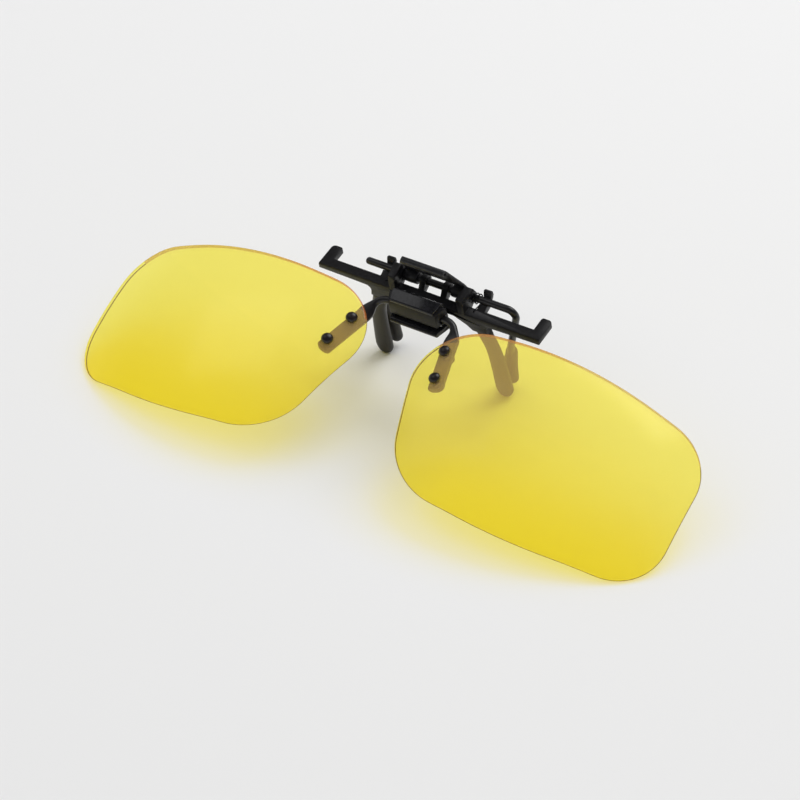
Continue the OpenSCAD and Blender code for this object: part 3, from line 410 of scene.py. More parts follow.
# %% Finishes of wires, springs, screws and washers
satin_wire = dark_finish(
    "black_wire_coat", deep=(0.006, 0.006, 0.007), pale=(0.012, 0.011, 0.012),
    edge=(0.04, 0.04, 0.045), rough=0.34, rough_spread=0.02, grain_size=4000, bump=0.06,
    dusty=0.002, coat=0.3, coat_rough=0.25, shine=0.4)
blued_spring = dark_finish(
    "blued_spring_steel", deep=(0.025, 0.025, 0.03), pale=(0.045, 0.045, 0.05),
    edge=(0.10, 0.10, 0.11), rough=0.36, rough_spread=0.06, grain_size=3000, bump=0.1,
    dusty=0.02, metallic=1.0)
black_screw = dark_finish(
    "black_screw", deep=(0.009, 0.007, 0.007), pale=(0.014, 0.010, 0.010),
    edge=(0.04, 0.03, 0.03), rough=0.34, rough_spread=0.03, grain_size=6000, bump=0.10,
    dusty=0.01, coat=0.2, coat_rough=0.3, shine=0.4)
dark_washer = dark_finish(
    "dark_washer", deep=(0.03, 0.028, 0.026), pale=(0.05, 0.045, 0.04),
    edge=(0.07, 0.065, 0.06), rough=0.5, rough_spread=0.05, grain_size=5000, bump=0.2,
    dusty=0.0)

# %% [markdown]
# ## Silicone
# The sleeves and pads that touch the spectacle frame are soft silicone. It is paler and warmer
# than the moulding, it has the deepest grain, and it holds dust best. Light enters real
# silicone a little, but in black it is lost at once, so the plain recipe is enough.

# %% Finish of the soft feet
matt_silicone = dark_finish(
    "matt_silicone", deep=(0.020, 0.019, 0.018), pale=(0.030, 0.028, 0.026),
    edge=(0.035, 0.033, 0.031), rough=0.40, rough_spread=0.05, grain_size=9000, bump=0.25,
    dusty=0.03, shine=0.3)

# %% [markdown]
# ## Finish of the lenses
# A tinted lens lets most light through and colours it, and it scatters a little inside, which
# is why black things behind it look brown. Real refraction would be slow and noisy, and shows
# little in a thin sheet. So the finish mixes a clear filter with a thin veil of tinted plastic
# that has a gloss of its own. The rays that light the table meet only a filter: the lamps
# shine through it, and the table turns yellow. The colour of the veil fades along the lens.

# %% The recipe of a lens finish
def lens_finish(name, clear, cast, veil_painted_deep, veil_painted_pale, share, rough, along, start, end):
    """clear: what the eye sees through; cast: the light on the table; share: of the veil.
    The veil's colour fades from deep to pale along Object Y, or along X away from the middle:
    this fade is painted light."""
    m = bpy.data.materials.new(name)
    m.use_nodes = True
    t = m.node_tree
    veil = t.nodes["Principled BSDF"]
    veil.inputs["Roughness"].default_value = rough
    veil.inputs["Specular IOR Level"].default_value = 1.0
    axes = node(t, "ShaderNodeSeparateXYZ")
    # The fade paints light into the veil: a deeper yellow near the table, or a glow at the brow.
    painted_fade = node(t, "ShaderNodeMapRange", From_Min=start, From_Max=end,
                interpolation_type="SMOOTHSTEP")
    link(t, place_on_piece(t), axes.inputs[0])
    way_along = axes.outputs[along]
    if along == "X":
        from_middle = node(t, "ShaderNodeMath", operation="ABSOLUTE")
        link(t, way_along, from_middle.inputs[0])
        way_along = from_middle.outputs[0]
    link(t, way_along, painted_fade.inputs["Value"])
    link(t, colour_mix(t, painted_fade.outputs["Result"], veil_painted_deep, veil_painted_pale),
         veil.inputs["Base Color"])
    window = node(t, "ShaderNodeBsdfTransparent", Color=(*clear, 1))
    beam = node(t, "ShaderNodeBsdfTransparent", Color=(*cast, 1))
    ray = node(t, "ShaderNodeLightPath")
    seen = node(t, "ShaderNodeMixShader", Fac=share)
    link(t, window.outputs[0], seen.inputs[1])
    link(t, veil.outputs[0], seen.inputs[2])
    for kind in ("Is Shadow Ray", "Is Diffuse Ray"):
        lit = node(t, "ShaderNodeMixShader")
        link(t, ray.outputs[kind], lit.inputs[0])
        link(t, seen.outputs[0], lit.inputs[1])
        link(t, beam.outputs[0], lit.inputs[2])
        seen = lit
    link(t, seen.outputs[0], t.nodes["Material Output"].inputs["Surface"])
    print("lens finish", name, "with", share, "of veil")
    return m


# %% [markdown]
# ## Face, brow and rim
# The face of a lens is a clear yellow. It is painted deeper towards its lower edge, which stands
# in for the yellow-lit table seen through it there. Light that runs inside the plastic comes out
# at the rim, so the rim has two finishes of its own. The upper edge, the brow, has a painted
# orange glow beside the nose, which fades to a dull yellow further out. Elsewhere the rounding
# at the back of the rim is a dark brown line, also painted deeper towards the lower edge. One
# material for all would lose that fine outline.

# %% The three finishes of a lens
# Painted light: the face and the rim are painted deeper towards the lower edge, near the table.
PAINTED_DEEP_Y, PAINTED_PALE_Y = -0.025, 0.006
# Painted glow: the brow is painted orange beside the nose and a dull yellow further out.
PAINTED_GLOW_X, PAINTED_DULL_X = 0.024, 0.040
RIM_CAST = (0.95, 0.75, 0.40)

lens_face = lens_finish(
    "yellow_lens_face", clear=(1.0, 1.0, 0.37), cast=(1.0, 0.93, 0.38),
    veil_painted_deep=(1.0, 0.60, 0.08), veil_painted_pale=(1.0, 0.71, 0.38), share=0.19, rough=0.16,
    along="Y", start=PAINTED_DEEP_Y, end=PAINTED_PALE_Y)
lens_brow = lens_finish(
    "orange_lens_rim", clear=(0.95, 0.70, 0.28), cast=RIM_CAST,
    veil_painted_deep=(0.62, 0.20, 0.05), veil_painted_pale=(0.60, 0.47, 0.11), share=0.60, rough=0.25,
    along="X", start=PAINTED_GLOW_X, end=PAINTED_DULL_X)
lens_rim = lens_finish(
    "brown_lens_rim", clear=(0.35, 0.24, 0.06), cast=RIM_CAST,
    veil_painted_deep=(0.09, 0.05, 0.008), veil_painted_pale=(0.12, 0.07, 0.012), share=0.70, rough=0.25,
    along="Y", start=PAINTED_DEEP_Y, end=PAINTED_PALE_Y)

# %% [markdown]
# ## From a mesh to a piece
# Every new piece goes the same way: into the scene, onto the body that carries it, in place of
# the CAD solids that it stands for, with a slot that says what it is made of. All but the thin
# springs also get the "edge" attribute. It could be painted by hand, but it follows from the
# shape: the angle between two faces tells how sharp the edge between them is.

# %% Helpers for a piece and its edges
EDGE_FROM, EDGE_SPAN = 12, 20
SHARP_FROM = 32


def piece(name, mesh, body, nodes, material=None):
    """Puts a mesh in the scene, on its body if it has just one, in place of its CAD nodes."""
    o = bpy.data.objects.new(name, mesh)
    bpy.context.scene.collection.objects.link(o)
    if material is not None:
        mesh.materials.clear()
        mesh.materials.append(material)
    if body is not None:
        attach(o, body)
    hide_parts(*nodes)
    print(name, len(mesh.polygons), "faces")
    return o


def mark_edges(mesh, sharp_from=SHARP_FROM):
    """Smooth shading, and the "edge" attribute: 1 where the skin turns sharply."""
    bm = bmesh.new()
    bm.from_mesh(mesh)
    value = np.zeros(len(bm.verts), np.float32)
    for e in bm.edges:
        if len(e.link_faces) == 2:
            turn = math.degrees(e.calc_face_angle(0.0))
            mark = min(1.0, max(0.0, (turn - EDGE_FROM)/EDGE_SPAN))
            for v in e.verts:
                value[v.index] = max(value[v.index], mark)
            e.smooth = turn < sharp_from
    for f in bm.faces:
        f.smooth = True
    bm.to_mesh(mesh)
    bm.free()
    mesh.attributes.new("edge", "FLOAT", "POINT").data.foreach_set("value", value)


# %% [markdown]
# ## Skins over rings
# Lenses, soft feet and wires all have a section that changes slowly along the piece. Such a
# shape could be sculpted, or bent from a cylinder. It is simpler to say where each ring of
# points lies and to join the rings into a closed skin, as a hose is drawn over hoops.

# %% A skin over rings
def lofted(name, rings):
    """A closed skin over rings that all have the same number of points, in metres."""
    rings = np.asarray(rings, float)
    m, n = rings.shape[:2]
    faces = [(k*n + i, k*n + (i + 1) % n, (k + 1)*n + (i + 1) % n, (k + 1)*n + i)
             for k in range(m - 1) for i in range(n)]
    faces += [tuple(range(n))[::-1], tuple((m - 1)*n + i for i in range(n))]
    mesh = bpy.data.meshes.new(name)
    mesh.from_pydata(rings.reshape(-1, 3).tolist(), [], faces)
    bm = bmesh.new()
    bm.from_mesh(mesh)
    bmesh.ops.recalc_face_normals(bm, faces=bm.faces)
    bm.to_mesh(mesh)
    bm.free()
    mark_edges(mesh)
    return mesh


# %% [markdown]
# ## Round edges on a CAD solid
# No moulding or pressing has knife edges, and it is the small round edges that catch the
# light. Where the CAD solid has the right shape already, a copy of it is enough: its loose
# triangles are merged into faces, and a Bevel modifier rounds the edges. Modelling the piece
# again would only risk a difference from the solid.

# %% A bevelled copy of a CAD solid
MERGE_WITHIN, FLAT_WITHIN = 2e-7, math.radians(0.6)
BEVEL_STEPS, BEVEL_FROM = 2, math.radians(28)


def rounded_edges(name, cad_node, width):
    """A copy of a CAD solid whose edges are rounded over a width in millimetres."""
    mesh = frame["nodes"][cad_node].data.copy()
    mesh.name = name
    bm = bmesh.new()
    bm.from_mesh(mesh)
    bmesh.ops.remove_doubles(bm, verts=bm.verts, dist=MERGE_WITHIN)
    bmesh.ops.dissolve_limit(bm, angle_limit=FLAT_WITHIN, verts=bm.verts, edges=bm.edges)
    bm.to_mesh(mesh)
    bm.free()
    o = bpy.data.objects.new(name, mesh)
    bpy.context.scene.collection.objects.link(o)
    b = o.modifiers.new("round", "BEVEL")
    b.width, b.segments = width*MM, BEVEL_STEPS
    b.limit_method, b.angle_limit = "ANGLE", BEVEL_FROM
    b.use_clamp_overlap = b.harden_normals = False
    dg = bpy.context.evaluated_depsgraph_get()
    made = bpy.data.meshes.new_from_object(o.evaluated_get(dg))
    made.name = name
    bpy.data.objects.remove(o)
    mark_edges(made)
    return made


# %% [markdown]
# ## The moulded and pressed pieces
# The clip body and the hinge block are thick mouldings with broad roundings. The cover, the
# plate under the block and the thumb plate are bent from thin sheet, so their edges are
# crisper. A list holds what differs, and one loop makes the five pieces.

# %% Clip body, hinge block, cover and plates
for name, cad_node, width, body, slot, finish in (
        ("clip_body_moulding", "clip_body", 0.12, "clip_base", "black_plastic", moulded_black),
        ("thumb_plate_pressing", "thumb_plate", 0.07, "rear_jaw", "black_metal", sprayed_black),
        ("hinge_block_moulding", "hinge_block", 0.12, "flip_frame", "black_plastic",
         moulded_black),
        ("block_cover_pressing", "block_cover", 0.1, "flip_frame", "black_metal", gloss_black),
        ("lower_plate_pressing", "lower_plate", 0.1, "flip_frame", "black_metal", gloss_black)):
    piece(name, rounded_edges(name, cad_node, width), body, [cad_node], finish)

# %% [markdown]
# ## The outline of a lens
# A lens is a piece of a thin sphere, cut to an outline with seven soft corners. The outline
# could be traced point by point, but seven corners with a radius each say the same and can be
# changed. It is drawn flat and then divided into even steps, so that the skin has even faces.

# %% Corners and even steps
CORNERS = [(30, 14.5, 10.7), (1.3, 19.4, 140), (-34.1, 17.95, 13), (-25.12, -11.9, 60),
           (-17.8, -17.5, 17), (1.9, -19.5, 100), (30, -16.1, 10.7)]
ARC_STEPS, RIM_POINTS = 40, 264
MOST_OF_SIDE = 0.49


def unit(v):
    return v/np.linalg.norm(v)


def outline(corners):
    """Even points on a closed outline whose corners are (x, y, radius)."""
    pts = []
    for i, (x, y, r) in enumerate(corners):
        a, p, b = (np.array(corners[k % len(corners)][:2], float) for k in (i - 1, i, i + 1))
        ea, eb = unit(a - p), unit(b - p)
        half = math.acos(float(ea@eb))/2
        reach = min(r/math.tan(half), MOST_OF_SIDE*np.linalg.norm(a - p),
                    MOST_OF_SIDE*np.linalg.norm(b - p))
        rr = reach*math.tan(half)
        c = p + unit(ea + eb)*rr/math.sin(half)
        start, end = p + ea*reach - c, p + eb*reach - c
        a0 = math.atan2(start[1], start[0])
        turn = (math.atan2(end[1], end[0]) - a0 + math.pi) % (2*math.pi) - math.pi
        pts += [c + rr*np.array([math.cos(a0 + turn*k/ARC_STEPS),
                                 math.sin(a0 + turn*k/ARC_STEPS)])
                for k in range(ARC_STEPS + 1)]
    pts = np.array(pts + [pts[0]])
    run = np.r_[0, np.cumsum(np.linalg.norm(np.diff(pts, axis=0), axis=1))]
    even = np.linspace(0, run[-1], RIM_POINTS, endpoint=False)
    return np.c_[np.interp(even, run, pts[:, 0]), np.interp(even, run, pts[:, 1])]


edge_line = outline(CORNERS)
print("lens outline in mm:", edge_line.min(0).round(2), "to", edge_line.max(0).round(2))

# %% [markdown]
# ## Where a lens hangs
# Each lens hangs by two screws on a flattened tab of the bridge wire. So its place is given by
# two turns: from the lens to the tab, where the screws have to stand square, and from the tab
# to the clip. That is how the real pieces are joined, and a change of the tab moves the lens,
# the screws and the wire together.

# %% From the lens to its tab, and from the tab to the table
LENS_W, LENS_T, LENS_R = 60, 0.9, 71
SCREW_PITCH, SCREW_IN, SCREW_UP, SCREW_LEAN = 6.7, 4.4, 8.6, -16
TAB_AT = np.array([11.5, -13.7, 0.45])
TAB_YAW, TAB_PITCH, TAB_ROLL = -75.8, 3.3, 13.9


def turned_about(axis, degrees):
    """The matrix of a turn about the x, y or z axis."""
    c, s = math.cos(math.radians(degrees)), math.sin(math.radians(degrees))
    return {"x": np.array([[1, 0, 0], [0, c, -s], [0, s, c]]),
            "y": np.array([[c, 0, s], [0, 1, 0], [-s, 0, c]]),
            "z": np.array([[c, -s, 0], [s, c, 0], [0, 0, 1]])}[axis]


TAB_TURN = turned_about("z", TAB_YAW)@turned_about("y", TAB_PITCH)@turned_about("x", TAB_ROLL)
screw_u = LENS_W/2 - SCREW_IN
screw_depth = math.sqrt(LENS_R**2 - screw_u**2 - SCREW_UP**2)
LENS_TURN = (turned_about("z", 90 + SCREW_LEAN)
             @ turned_about("x", math.degrees(math.asin(SCREW_UP/LENS_R)))
             @ turned_about("y", math.degrees(math.atan2(screw_u, screw_depth))))


def from_tab(points, side):
    """Points in the frame of a tab, whose Z leaves the front of the lens, to the table."""
    p = np.atleast_2d(points)@TAB_TURN.T + TAB_AT
    return place(p*[side, 1, 1])


def from_lens(uv, depth, side):
    """Flat points (u, v) of the outline, lifted onto the sphere at a depth behind its front."""
    r = LENS_R - depth
    w = np.sqrt(r*r - (uv**2).sum(1))
    return from_tab(np.c_[uv, w]@LENS_TURN.T - [0, 0, LENS_R], side)


print("tab of the right lens at", (from_tab([0, 0, 0], 1)[0]/MM).round(2), "mm")

# %% [markdown]
# ## The two lenses
# The outline is shrunk ring by ring towards the middle, and each ring is lifted onto the
# sphere. A Solidify modifier could give the thickness, but its rim would be square. A polished
# rim is rounded front and back, so the rings also step round it, and its faces get the rim
# finishes. Where the upper outline runs more level than steep, it is the brow.

# %% The rounding of the rim
RIM_ROUND = 0.17

inward = np.array([unit(np.array([-(b - a)[1], (b - a)[0]])) for a, b in
                   zip(np.roll(edge_line, 1, 0), np.roll(edge_line, -1, 0))])
inward *= np.sign((inward*-edge_line).sum(1).mean())
front_round = [(RIM_ROUND*(1 - math.sin(a)), RIM_ROUND*(1 - math.cos(a)))
               for a in np.radians(np.linspace(0, 90, 5))]
rim = front_round + [(inset, LENS_T - depth) for inset, depth in front_round[::-1]]
print("the rim takes", len(rim), "rings")

# %% Rings of a lens
BROW_SLOPE = 0.55
INNER_SHARES = (0.98, 0.94, 0.88, 0.80, 0.70, 0.58, 0.44, 0.30, 0.16, 0.06)
RIM_SLOT, BROW_SLOT = 1, 2


def lens(name, side):
    """Rings from the middle of the front, round the rim, to the middle of the back."""
    line_in = edge_line + inward*RIM_ROUND
    rings = [from_lens(line_in*f, 0, side) for f in INNER_SHARES[::-1]]
    rings += [from_lens(edge_line + (line_in - edge_line)*inset/RIM_ROUND, depth, side)
              for inset, depth in rim]
    rings += [from_lens(line_in*f, LENS_T, side) for f in INNER_SHARES]
    mesh = lofted(name, rings)
    for finish in (lens_face, lens_rim, lens_brow):
        mesh.materials.append(finish)
    n, first = len(edge_line), len(INNER_SHARES)
    for i, (u, v) in enumerate(edge_line):
        brow = v > 0 and abs(inward[i][1]) > BROW_SLOPE
        for k in range(0 if brow else len(front_round), len(rim) - 1):
            mesh.polygons[n*(first + k) + i].material_index = BROW_SLOT if brow else RIM_SLOT
    return mesh


for word, side in SIDES:
    name = word + "_lens_tinted"
    piece(name, lens(name, side), "flip_frame", [word + "_lens"])

# %% [markdown]
# ## Front sleeves
# The front legs of the clip wear soft sleeves. A sleeve follows its leg, has a rolled mouth at
# its top, where the moulded leg goes in, and a blunt tip. It could be made as a Subdivision
# cage, but its measures are known along the leg, so it is drawn over oval rings: each ring has
# a depth, a middle and two half widths, and smooth values are read between a few rows.

# %% Ovals and smooth rows
def oval(centre, half_x, half_y, square, n=44):
    """A ring between an ellipse, at square = 2, and a rounded rectangle, at more."""
    a = np.linspace(0, 2*math.pi, n, endpoint=False)
    x = np.sign(np.cos(a))*np.abs(np.cos(a))**(2/square)*half_x
    y = np.sign(np.sin(a))*np.abs(np.sin(a))**(2/square)*half_y
    return np.c_[x + centre[0], y + centre[1], np.full(n, centre[2])]


def through(rows, s):
    """Smooth values at s through rows of (s, values...), by a cubic between each two rows."""
    k = np.asarray(rows, float)
    i = int(np.clip(np.searchsorted(k[:, 0], s) - 1, 0, len(k) - 2))
    p0, p1, p2, p3 = k[max(i - 1, 0)], k[i], k[i + 1], k[min(i + 2, len(k) - 1)]
    t = (s - p1[0])/(p2[0] - p1[0])
    m1 = (p2 - p0)/(p2[0] - p0[0])*(p2[0] - p1[0])
    m2 = (p3 - p1)/(p3[0] - p1[0])*(p2[0] - p1[0])
    return ((2*t**3 - 3*t**2 + 1)*p1 + (t**3 - 2*t**2 + t)*m1 + (3*t**2 - 2*t**3)*p2
            + (t**3 - t**2)*m2)[1:]


# %% Measures of a sleeve
FOOT_DROP, SLEEVE_TOP, LEG_LEAN = 22.8, 4.15, 2.5
SLEEVE_HALF_T, SLEEVE_SQUARE = 1.0, 2.5
# depth, middle, half width
SLEEVE_ROWS = [(SLEEVE_TOP, 12.0, 1.55), (5.15, 12.2, 1.65), (9.3, 13.35, 1.6),
               (15, 13.9, 1.75), (20.25, 14.15, 1.95), (FOOT_DROP, 14.13, 1.95)]
# depth, share of the full section
MOUTH_ROWS = [(4.95, 0.74), (4.45, 0.80), (4.22, 0.88), (SLEEVE_TOP, 0.95), (4.25, 1.0)]
LIP_DEPTH, LIP_GROW, LIP_REACH = 4.55, 0.05, 0.35
TIP_FROM, TIP_THIN_FROM, TIP_FULL = 20.25, 21.8, 0.85
THINNEST = 0.05
print("a sleeve reaches from", SLEEVE_TOP, "to", FOOT_DROP, "mm down its leg")

# %% The two front sleeves
def sleeve(name, side):
    """A soft sleeve over a leg that leans back a little."""
    rings = []
    for s, grow in MOUTH_ROWS + [(s, 1.0) for s in np.linspace(4.6, 20.2, 26)]:
        middle, half = through(SLEEVE_ROWS, s)
        lip = 1 + LIP_GROW*math.exp(-((s - LIP_DEPTH)/LIP_REACH)**2)
        rings.append(oval((middle, SLEEVE_HALF_T, -s), half*grow*lip,
                          SLEEVE_HALF_T*grow*lip, SLEEVE_SQUARE))
    for b in np.radians(np.linspace(12, 86, 9)):
        s = TIP_FROM + (FOOT_DROP - TIP_FROM)*math.sin(b)
        middle, half = through(SLEEVE_ROWS, s)
        flat = math.sqrt(max(0.0, 1 - max(0.0, s - TIP_THIN_FROM)**2))
        rings.append(oval((middle, SLEEVE_HALF_T, -s), half*math.cos(b)**TIP_FULL,
                          max(THINNEST, flat), SLEEVE_SQUARE - 0.5*math.sin(b)))
    lean = turned_about("x", LEG_LEAN)
    return lofted(name, [place((r@lean.T)*[side, 1, 1]) for r in rings])


for word, side in SIDES:
    name = word + "_front_sleeve_soft"
    soft = piece(name, sleeve(name, side), "clip_base",
                 [word + "_front_sleeve"], matt_silicone)

# %% [markdown]
# ## Rear pads
# The rear legs are bare wires that end in drop-shaped soft pads. A pad starts as a round
# collar on the wire and widens into a flat drop. Two primitives joined by a Boolean would
# leave a seam at the collar. The same oval rings as before go over from round to flat.

# %% Measures of a pad
REAR_X, REAR_Y, REAR_DROP = 13.7, 5.25, 22.4
PAD_LEN, PAD_W, PAD_T, COLLAR = 9.5, 3.5, 2.1, 1.15
PAD_TIP_HALF = 0.93*PAD_W/2
PAD_TOP = REAR_DROP - PAD_LEN
PAD_SQUARE, PAD_TIP_SQUARE, PAD_THINNEST = 2.2, 2.1, 0.06
# depth, x, y, half width, half thickness
PAD_ROWS = [(PAD_TOP - COLLAR, REAR_X + 1.15, 5.05, 0.86, 0.86),
            (PAD_TOP - 0.5, REAR_X + 1.15, 5.05, 1.13, 1.13),
            (PAD_TOP + 0.4, REAR_X + 1.1, 5.04, 1.24, 1.18),
            (REAR_DROP - 5.4, REAR_X + 0.25, REAR_Y - 0.25, PAD_W/2, PAD_T/2),
            (REAR_DROP - PAD_W/2, REAR_X, REAR_Y, PAD_TIP_HALF, PAD_T/2),
            (REAR_DROP, REAR_X, REAR_Y, PAD_TIP_HALF, PAD_T/2)]
print("a pad is", PAD_W, "mm wide and", PAD_T, "mm thick")

# %% The two rear pads
def pad(name, side):
    """A collar on the wire that widens into a flat drop."""
    rings = []
    for s in np.linspace(PAD_TOP - COLLAR, REAR_DROP - PAD_W/2, 22):
        x, y, half_w, half_t = through(PAD_ROWS, s)
        rings.append(oval((x, y, -s), half_w, half_t, PAD_SQUARE))
    for b in np.radians(np.linspace(12, 86, 8)):
        s = REAR_DROP - PAD_W/2*(1 - math.sin(b))
        flat = math.sqrt(max(0.0, 1 - max(0.0, (s - REAR_DROP + PAD_T/2)/(PAD_T/2))**2))
        rings.append(oval((REAR_X, REAR_Y, -s), PAD_TIP_HALF*math.cos(b),
                          PAD_T/2*max(PAD_THINNEST, flat), PAD_TIP_SQUARE))
    return lofted(name, [place(r*[side, 1, 1]) for r in rings])


for word, side in SIDES:
    name = word + "_rear_pad_soft"
    soft = piece(name, pad(name, side), "rear_jaw", [word + "_rear_pad"],
                 matt_silicone)

# %% [markdown]
# ## Bent wires
# The jaw turns on a straight wire that bends down into the right rear leg. The left rear leg is
# a wire of its own, which ends behind the axle in a fold of the thumb plate. A curve object
# with a round bevel would do. Rings give more say: they turn as little as possible from one to
# the next, so the skin doesn't twist, and the ends are rounded off as cut and tumbled wire is.

# %% A round corner
def arc_corner(a, p, b, r, n):
    """Points of the arc of radius r that rounds the corner p between its neighbours."""
    a, p, b = (np.asarray(q, float) for q in (a, p, b))
    ea, eb = unit(a - p), unit(b - p)
    half = math.acos(float(ea@eb))/2
    c = p + unit(ea + eb)*r/math.sin(half)
    start, end = (p + ea*r/math.tan(half) - c)/r, (p + eb*r/math.tan(half) - c)/r
    turn = math.acos(float(np.clip(start@end, -1, 1)))
    return [c + r*(start*math.sin(turn*(1 - i/n)) + end*math.sin(turn*i/n))/math.sin(turn)
            for i in range(n + 1)]


# %% Rings along a path
CAP_LONG, CAP_STEPS = 0.8, np.radians([25, 50, 70, 84])
WIRE_SIDES = 28


def capped(ring, centre, out, radius):
    """Smaller and smaller rings that round off an end of a wire."""
    return [centre + (ring - centre)*math.cos(b) + out*radius*CAP_LONG*math.sin(b)
            for b in CAP_STEPS]


def swept(points, radius):
    """Rings of a round wire along a path in upright millimetres, with rounded ends."""
    p = np.asarray(points, float)
    ways = np.array([unit(p[min(i + 1, len(p) - 1)] - p[max(i - 1, 0)])
                     for i in range(len(p))])
    a = np.linspace(0, 2*math.pi, WIRE_SIDES, endpoint=False)
    rings, up = [], np.array([0.3, 0.5, 1.0])
    for at, way in zip(p, ways):
        up = unit(up - way*(up@way))
        side = np.cross(up, way)
        rings.append(at + radius*(np.outer(np.cos(a), up) + np.outer(np.sin(a), side)))
    first = capped(rings[0], p[0], -ways[0], radius)[::-1]
    last = capped(rings[-1], p[-1], ways[-1], radius)
    return [place(r) for r in first + rings + last]


# %% The axle wire
WIRE_R, BORE_R, BEND_R = 0.75, 0.8, 1.7
AXLE_Y, AXLE_Z = JAW_AXLE
AXLE_FREE, AXLE_BEND, AXLE_CAP, AXLE_STRAIGHT = 16.3, 19.1, 0.56, 14.5
knee = np.array([15.4, 4.45, -10.2])
wire_end = np.array([13.8, 5.15, -19.0])
corner = np.array([AXLE_BEND - WIRE_R, AXLE_Y, AXLE_Z])

axle_path = [[x, AXLE_Y, AXLE_Z] for x in np.linspace(-AXLE_FREE + AXLE_CAP, AXLE_STRAIGHT, 12)]
axle_path += arc_corner([0, AXLE_Y, AXLE_Z], corner, knee, BEND_R, 14)
axle_path += arc_corner(corner, knee, wire_end, 3*BEND_R, 8) + [wire_end]
piece("jaw_axle_wire", lofted("jaw_axle_wire", swept(axle_path, WIRE_R)),
      "rear_jaw", ["axle_wire"], satin_wire)

# %% The left rear leg
PLATE_T, FOLD_PLAY, FOLD_IN = 0.5, 0.15, 4.0
SHOULDER_X, DIP_X, DIP_OFF = -9.25, -10.4, 0.45
FOLD_Y = AXLE_Y + 2*WIRE_R + PLATE_T + FOLD_PLAY
shoulder = np.array([SHOULDER_X, FOLD_Y, AXLE_Z])
dip = np.array([DIP_X, AXLE_Y + BORE_R + DIP_OFF, AXLE_Z - 2*BEND_R])
left_knee, left_end = knee*[-1, 1, 1], wire_end*[-1, 1, 1]

leg_path = [[-FOLD_IN + 0.2, FOLD_Y, AXLE_Z]]
leg_path += arc_corner([-FOLD_IN, FOLD_Y, AXLE_Z], shoulder, dip, BEND_R, 12)
leg_path += arc_corner(shoulder, dip, left_knee, BEND_R, 8)
leg_path += arc_corner(dip, left_knee, left_end, 3*BEND_R, 8) + [left_end]
piece("left_rear_leg_wire", lofted("left_rear_leg_wire", swept(leg_path, WIRE_R)),
      "rear_jaw", ["left_leg_wire"], satin_wire)

# %% [markdown]
# ## Bridge wire
# One wire carries both lenses. It runs straight through the block, sweeps out and forward on
# each side, and is hammered flat behind each lens. A wire and a bar joined by a Boolean would
# show a step. The section changes on the way instead, from a circle to a thin rounded bar, so
# each ring is a mix of the two. The left half mirrors the right one.

# %% Heights on the tab
BRIDGE_D, TAB_W, TAB_T, TAB_END = 1.5, 3.2, 0.9, 1.9
TAB_SKEW, TAB_OFF = 1.6, -0.2
SEAT, WASHER_T, NUT_D = 0.03, 0.2, 2.2

back_r = LENS_R - LENS_T
washer_top = -LENS_T - (SCREW_PITCH/2)**2/(2*back_r) - NUT_D/2*(SCREW_PITCH/2)/back_r - SEAT
tab_top = washer_top - WASHER_T
tab_bottom = tab_top - TAB_T
tab_middle = tab_bottom + TAB_T/2
skew = turned_about("z", TAB_SKEW)


def on_tab(x):
    """A point along the middle of the right tab, which lies a little off the screws' line."""
    shift = np.array([SCREW_PITCH/2, 0, 0])
    p = skew@(np.array([x, 0, tab_middle]) - shift) + shift + [0, TAB_OFF, 0]
    return TAB_TURN@p + TAB_AT


print("tab from", round(-tab_top, 3), "to", round(-tab_bottom, 3), "mm behind the lens front")

# %% The section of the wire
BAR_ROUND, MOST_ROUND = 0.3, 0.8


def section(at, side, up, half_w, half_h, flat, n=36):
    """A ring between a round wire, at flat = 0, and a bar with rounded corners, at 1."""
    round_off = min(BAR_ROUND, MOST_ROUND*half_w, MOST_ROUND*half_h)
    a = 2*math.pi*(np.arange(n) + 0.5)/n
    grow = 1/math.cos(math.pi/n)
    u = (1 - flat)*half_w*np.cos(a) + flat*(np.sign(np.cos(a))*(half_w - round_off)
                                            + round_off*grow*np.cos(a))
    v = (1 - flat)*half_h*np.sin(a) + flat*(np.sign(np.sin(a))*(half_h - round_off)
                                            + round_off*grow*np.sin(a))
    return at + np.outer(u, side) + np.outer(v, up)


# %% [markdown]
# ## The sweep of the bridge
# Between the block and the tab the wire follows one smooth curve with two pulls, one at each
# end, like the curve of a drawing program. Its section starts to flatten nearly halfway, and
# it leans over from upright to the slope of the tab.

# %% From the block to the tab
BRIDGE_Y, BRIDGE_Z, BRIDGE_OUT = -3.15, 0.5, 5.8
TAB_START, TAB_LAP = 2.6, 0.4
PULL_OUT, PULL_IN = 4.0, 2.6
FLAT_FROM, FLAT_RUN = 0.4, 0.45

